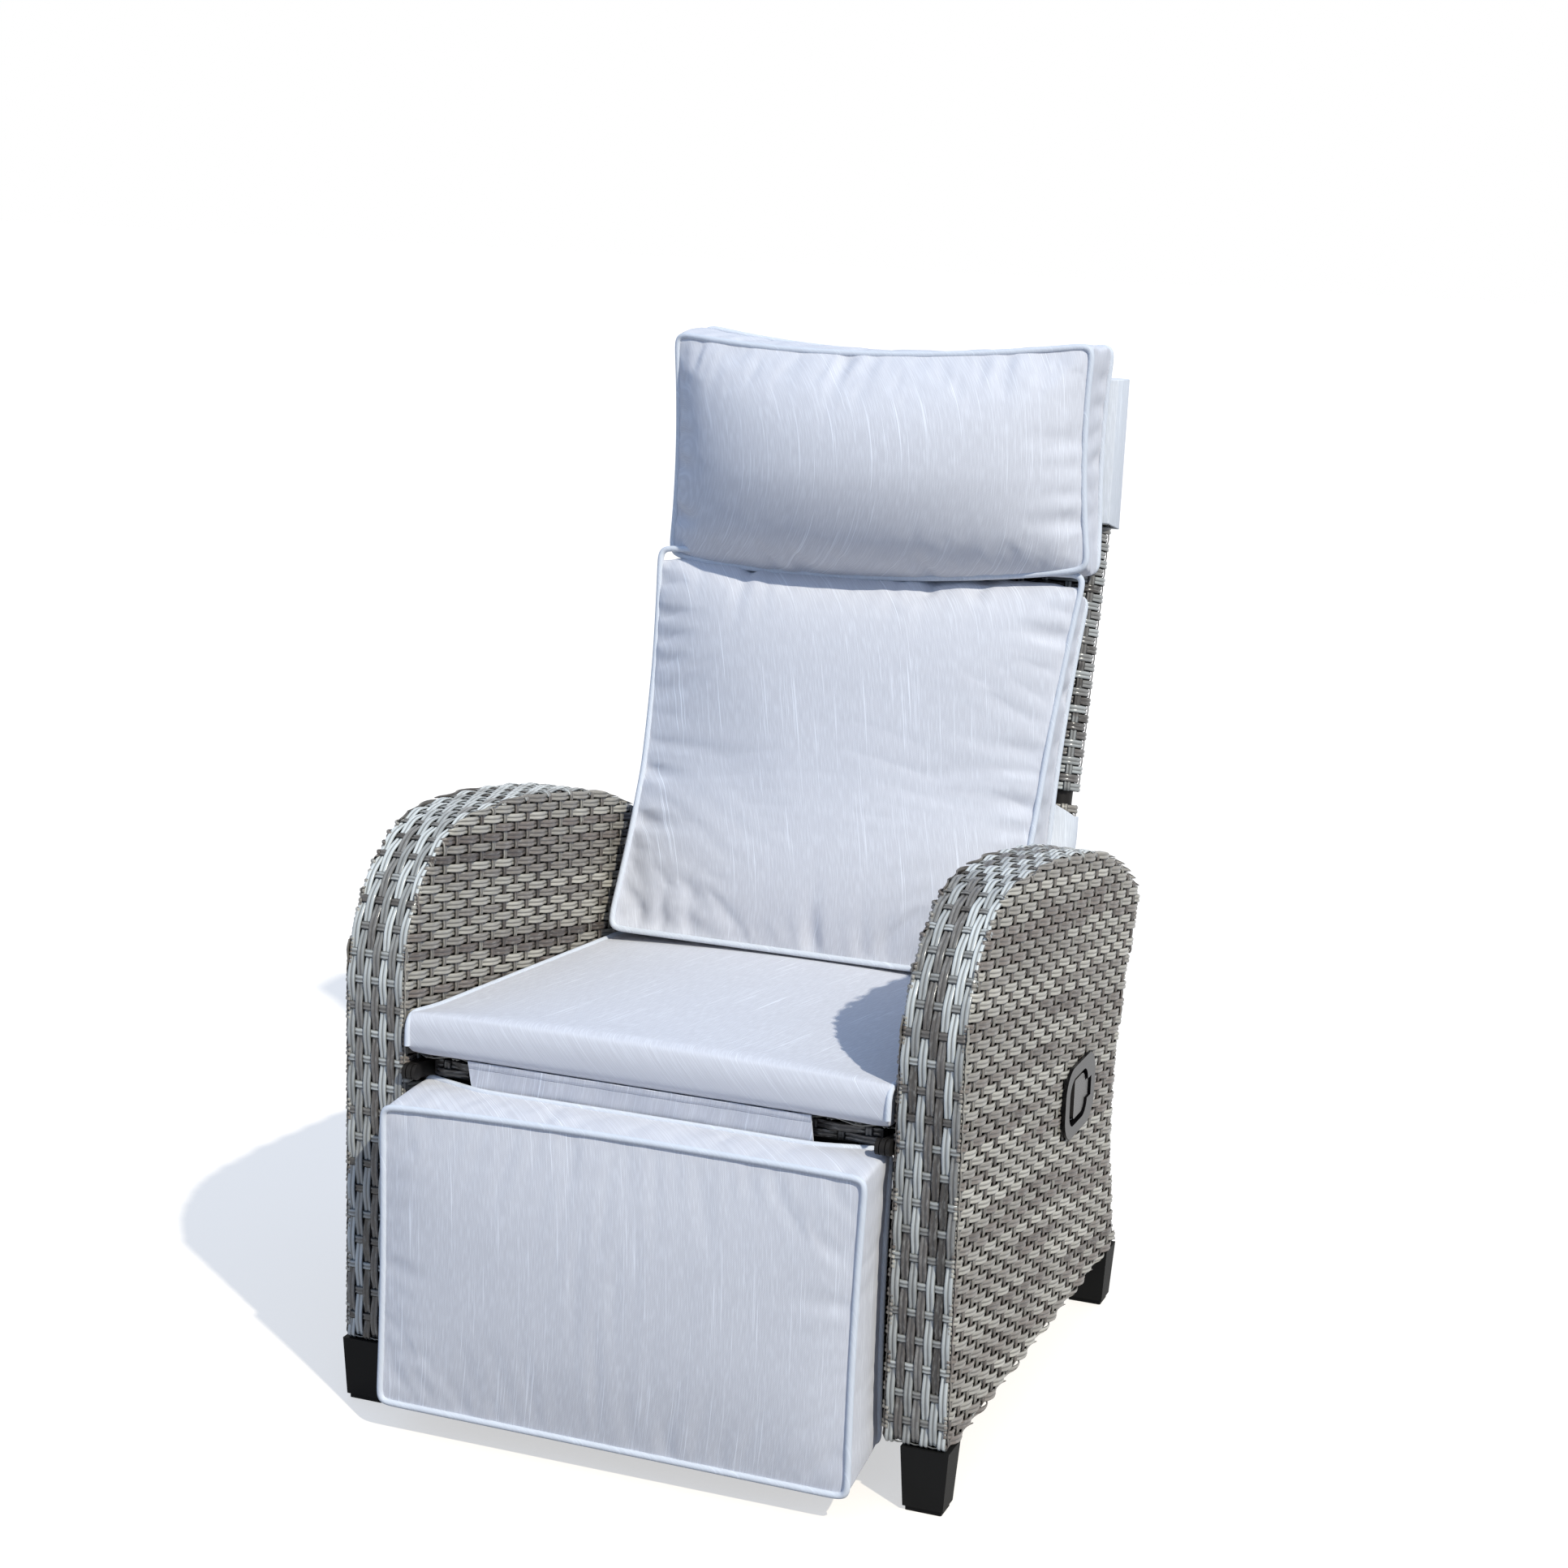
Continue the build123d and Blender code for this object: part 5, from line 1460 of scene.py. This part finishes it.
def head_level(x, t):
    """Height on the CAD cushion, whose upper edge sags in the middle."""
    top = HEAD["high"] - HEAD["sag"] * (1 - (x / MM / HEAD["half"]) ** 2)
    return HEAD["low"] + (t / MM - HEAD["low"]) * (top - HEAD["low"]) / (HEAD["high"] - HEAD["low"])


def head_front(x, t):
    z = head_level(x, t)
    return place(x / MM, 600 + (z - HEAD["low"]) * math.tan(math.radians(3.6)), z)


def head_rear(x, t):
    z = head_level(x, t)
    return place(x / MM, KNEE_Y + (z - KNEE_Z) * math.tan(LEAN if z < KNEE_Z else HEAD_LEAN), z)


def head_warp(co):
    a, b = share(co[:, 0], -HEAD["half"], HEAD["half"]), share(co[:, 2], HEAD["low"], HEAD["high"])
    ahead = (place(0, 690, 0).y - co[:, 1]) / MM
    front = np.clip(ahead / 85, 0.35, 1)
    shift = corner_pull(a, b, (4, 0), (15, 28), (-1, -8), (4, 12)) * front[:, None]
    side, level = np.abs(2 * a - 1), np.abs(2 * b - 1)
    swell = 46 * MM * (1 - side ** 2.2) * (1 - level ** np.where(b > 0.5, 2.6, 1.5))
    dome = (swell + 18 * MM * (1 - side ** 7) * (1 - level ** 9)) * np.clip(ahead / 75, 0, 1)
    sag = (front + 16 * (1 - front)) * MM * bow(a) * b ** 3
    out = co.copy()
    out[:, 0] += shift[:, 0] - waist(a, b, 7 * MM)
    out[:, 1] -= dome - 20 * MM * (1 - a) ** 6 * front
    out[:, 2] += shift[:, 1] - sag - 16 * MM * bow(a) * (1 - b) ** 3 * front - dome * 0.4 * (1 - b)
    return out


head_seams = [rounded_rectangle(way, HEAD["half"] * MM, HEAD["low"] * MM, HEAD["high"] * MM, 12 * MM)
              for way in (head_front, head_rear)]
knee = place(0, KNEE_Y + 0.1, KNEE_Z)
head_stops = [flat_stop(knee, lean_out), flat_stop(knee, (0, math.cos(HEAD_LEAN), -math.sin(HEAD_LEAN)))]
head_seams = cushion("head_cushion_cover", "head_cushion", "back", upright_cloth, head_seams, head_warp,
                     head_stops, slack=0.008, pressure=4.5, cap=18 * MM, pucker=6.5 * MM, seed=8)
piping("head_piping_front", head_seams[0], "back", FRONT_CORD)
piping("head_piping_rear", head_seams[1], "back")

# %% [markdown]
# The hood is a pocket of the same cloth that drops over the top of the back. It is the CAD shape with
# a soft edge. Its flat size is the width and depth of the pocket added, by twice its height and depth.

# %% Hood
hood = copy_of("head_hood", "head_hood_cloth")
choose(hood)
bpy.ops.object.mode_set(mode="EDIT")
bpy.ops.mesh.select_all(action="SELECT")
bpy.ops.mesh.dissolve_limited(angle_limit=math.radians(1))
bpy.ops.object.mode_set(mode="OBJECT")
soft = hood.modifiers.new("soft_edge", "BEVEL")
soft.width, soft.segments, soft.limit_method = 1.2 * MM, 3, "ANGLE"
bpy.ops.object.modifier_apply(modifier="soft_edge")
shade(hood, 50)
dress(hood, hood_cloth, "back", "cushion_cloth", "head_hood")
print("hood of", len(hood.data.polygons), "faces")

# %% [markdown]
# A strap holds the back cushion to the frame. It is a sheet laid round the back: from behind the
# cushion round both edges and across the rear. It widens where it comes out at an edge.

# %% Back strap
def cloth_strip(name, grid):
    """A thin sheet of cloth over a grid of points, given column by column."""
    columns, n = len(grid), len(grid[0])
    faces = [[c * n + i, (c + 1) * n + i, (c + 1) * n + i + 1, c * n + i + 1]
             for c in range(columns - 1) for i in range(n - 1)]
    mesh = bpy.data.meshes.new(name)
    mesh.from_pydata([tuple(point) for column in grid for point in column], [], faces)
    piece = link(name, mesh)
    choose(piece)
    thicker = piece.modifiers.new("thicker", "SOLIDIFY")
    thicker.thickness, thicker.offset = 1.6 * MM, 0
    bpy.ops.object.modifier_apply(modifier="thicker")
    recalculate(piece)
    shade(piece, 60)
    return piece


STRAP_LOW, STRAP_HIGH, STRAP_FLARE, STRAP_TUCK = 180, 236, 22, 22 * MM
strap_half, strap_thick = BACK_HALF + 1.2 * MM, BACK_THICK + 2.4 * MM
straight = 2 * (strap_half - strap_thick / 2)
strap_length = math.pi * strap_thick + straight + 2 * STRAP_TUCK
columns, levels = 150, 9


def strap_point(c, i):
    s = straight - STRAP_TUCK + strap_length * c / columns
    edge = min(c, columns - c) / columns * strap_length
    top = STRAP_HIGH + STRAP_FLARE * max(0.0, 1 - edge / (48 * MM))
    u = (STRAP_LOW + (top - STRAP_LOW) * i / levels) * MM
    wave = 0.5 * MM * math.sin(s * 95 + i * 0.7)
    return back_point(s, u, BED + wave, strap_half, strap_thick)[0]


grid = [[strap_point(c, i) for i in range(levels + 1)] for c in range(columns + 1)]
strap = cloth_strip("back_strap_cloth", grid)
dress(strap, hood_cloth, "back", "cushion_cloth", "back_strap")
print("strap", round(strap_length, 3), "m long")

# %% [markdown]
# A strip of cloth closes the gap between the seat and the leg rest. It hangs from the seat cushion's
# lower front edge and slants back a little to the top of the leg cushion. A seam pinches it under its
# top edge.

# %% Flap
FLAP_LOW, FLAP_HIGH = 358.0, 391.5
FLAP_SEAM = 383.8
FLAP_LEVELS = [391.5, 388.0, 384.6, FLAP_SEAM, 383.0, 379.0, 374.0, 369.0, 364.0, 358.0]


def flap_point(x, z):
    down = (FLAP_HIGH - z) / (FLAP_HIGH - FLAP_LOW)
    ripple = 0.7 * math.sin(x * 0.05) * math.sin(math.pi * down) + 0.4 * math.sin(x * 0.17 + 2 * down)
    pinch = -0.9 if z == FLAP_SEAM else 0
    return place(x, 4.6 + 11.0 * down - ripple - pinch, z)


grid = [[flap_point(x, z) for z in FLAP_LEVELS] for x in np.linspace(-194, 178, 94)]
flap = cloth_strip("leg_flap_cloth", grid)
dress(flap, upright_cloth, None, "cushion_cloth", "seat_leg_flap")
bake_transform(flap)
print("flap of", len(flap.data.polygons), "faces")

# %% [markdown]
# The remaining CAD pieces already have their true shape. Each gets the finish of its real material.

# %% Finishes of the CAD pieces
finish_of = {
    "frame_paint": [
        "arm_frame_left", "arm_frame_right", "seat_front_rail", "seat_rear_rail", "seat_side_rail_left",
        "seat_side_rail_right", "seat_front_lip", "base_front_tube", "base_rear_tube", "strut_cross_tube",
        "strut_ears", "back_hinge_brackets", "leg_hinge_brackets", "back_frame", "back_lever_plates",
        "strut_lever", "leg_frame", "leg_hinge_plates", "push_links", "leg_pivot_bolts"],
    "pin_steel": [
        "foot_bolts", "seat_bolts", "strut_front_pin", "handle_pin", "handle_spring", "back_pivot_studs",
        "link_rear_pins", "strut_rear_pin", "link_front_pins"],
    "matt_plastic": [
        "front_foot_left", "front_foot_right", "rear_foot_left", "rear_foot_right", "foot_glides",
        "release_cable", "strut_cylinder"],
    "plate_gloss": ["handle_bezel"],
    "paddle_grey": ["handle_lever"],
    "rod_steel": ["strut_rod"],
}
for finish in (frame_paint, pin_steel, matt_plastic, plate_gloss, paddle_grey, rod_steel):
    for name in finish_of[finish.name]:
        node = frame["nodes"][name]
        node.data.materials.clear()
        node.data.materials.append(finish)
shown = [n for n, o in frame["nodes"].items() if not o.hide_render]
finished = sum(finish_of.values(), [])
print("CAD pieces shown", len(shown), "without a finish", [n for n in shown if n not in finished])
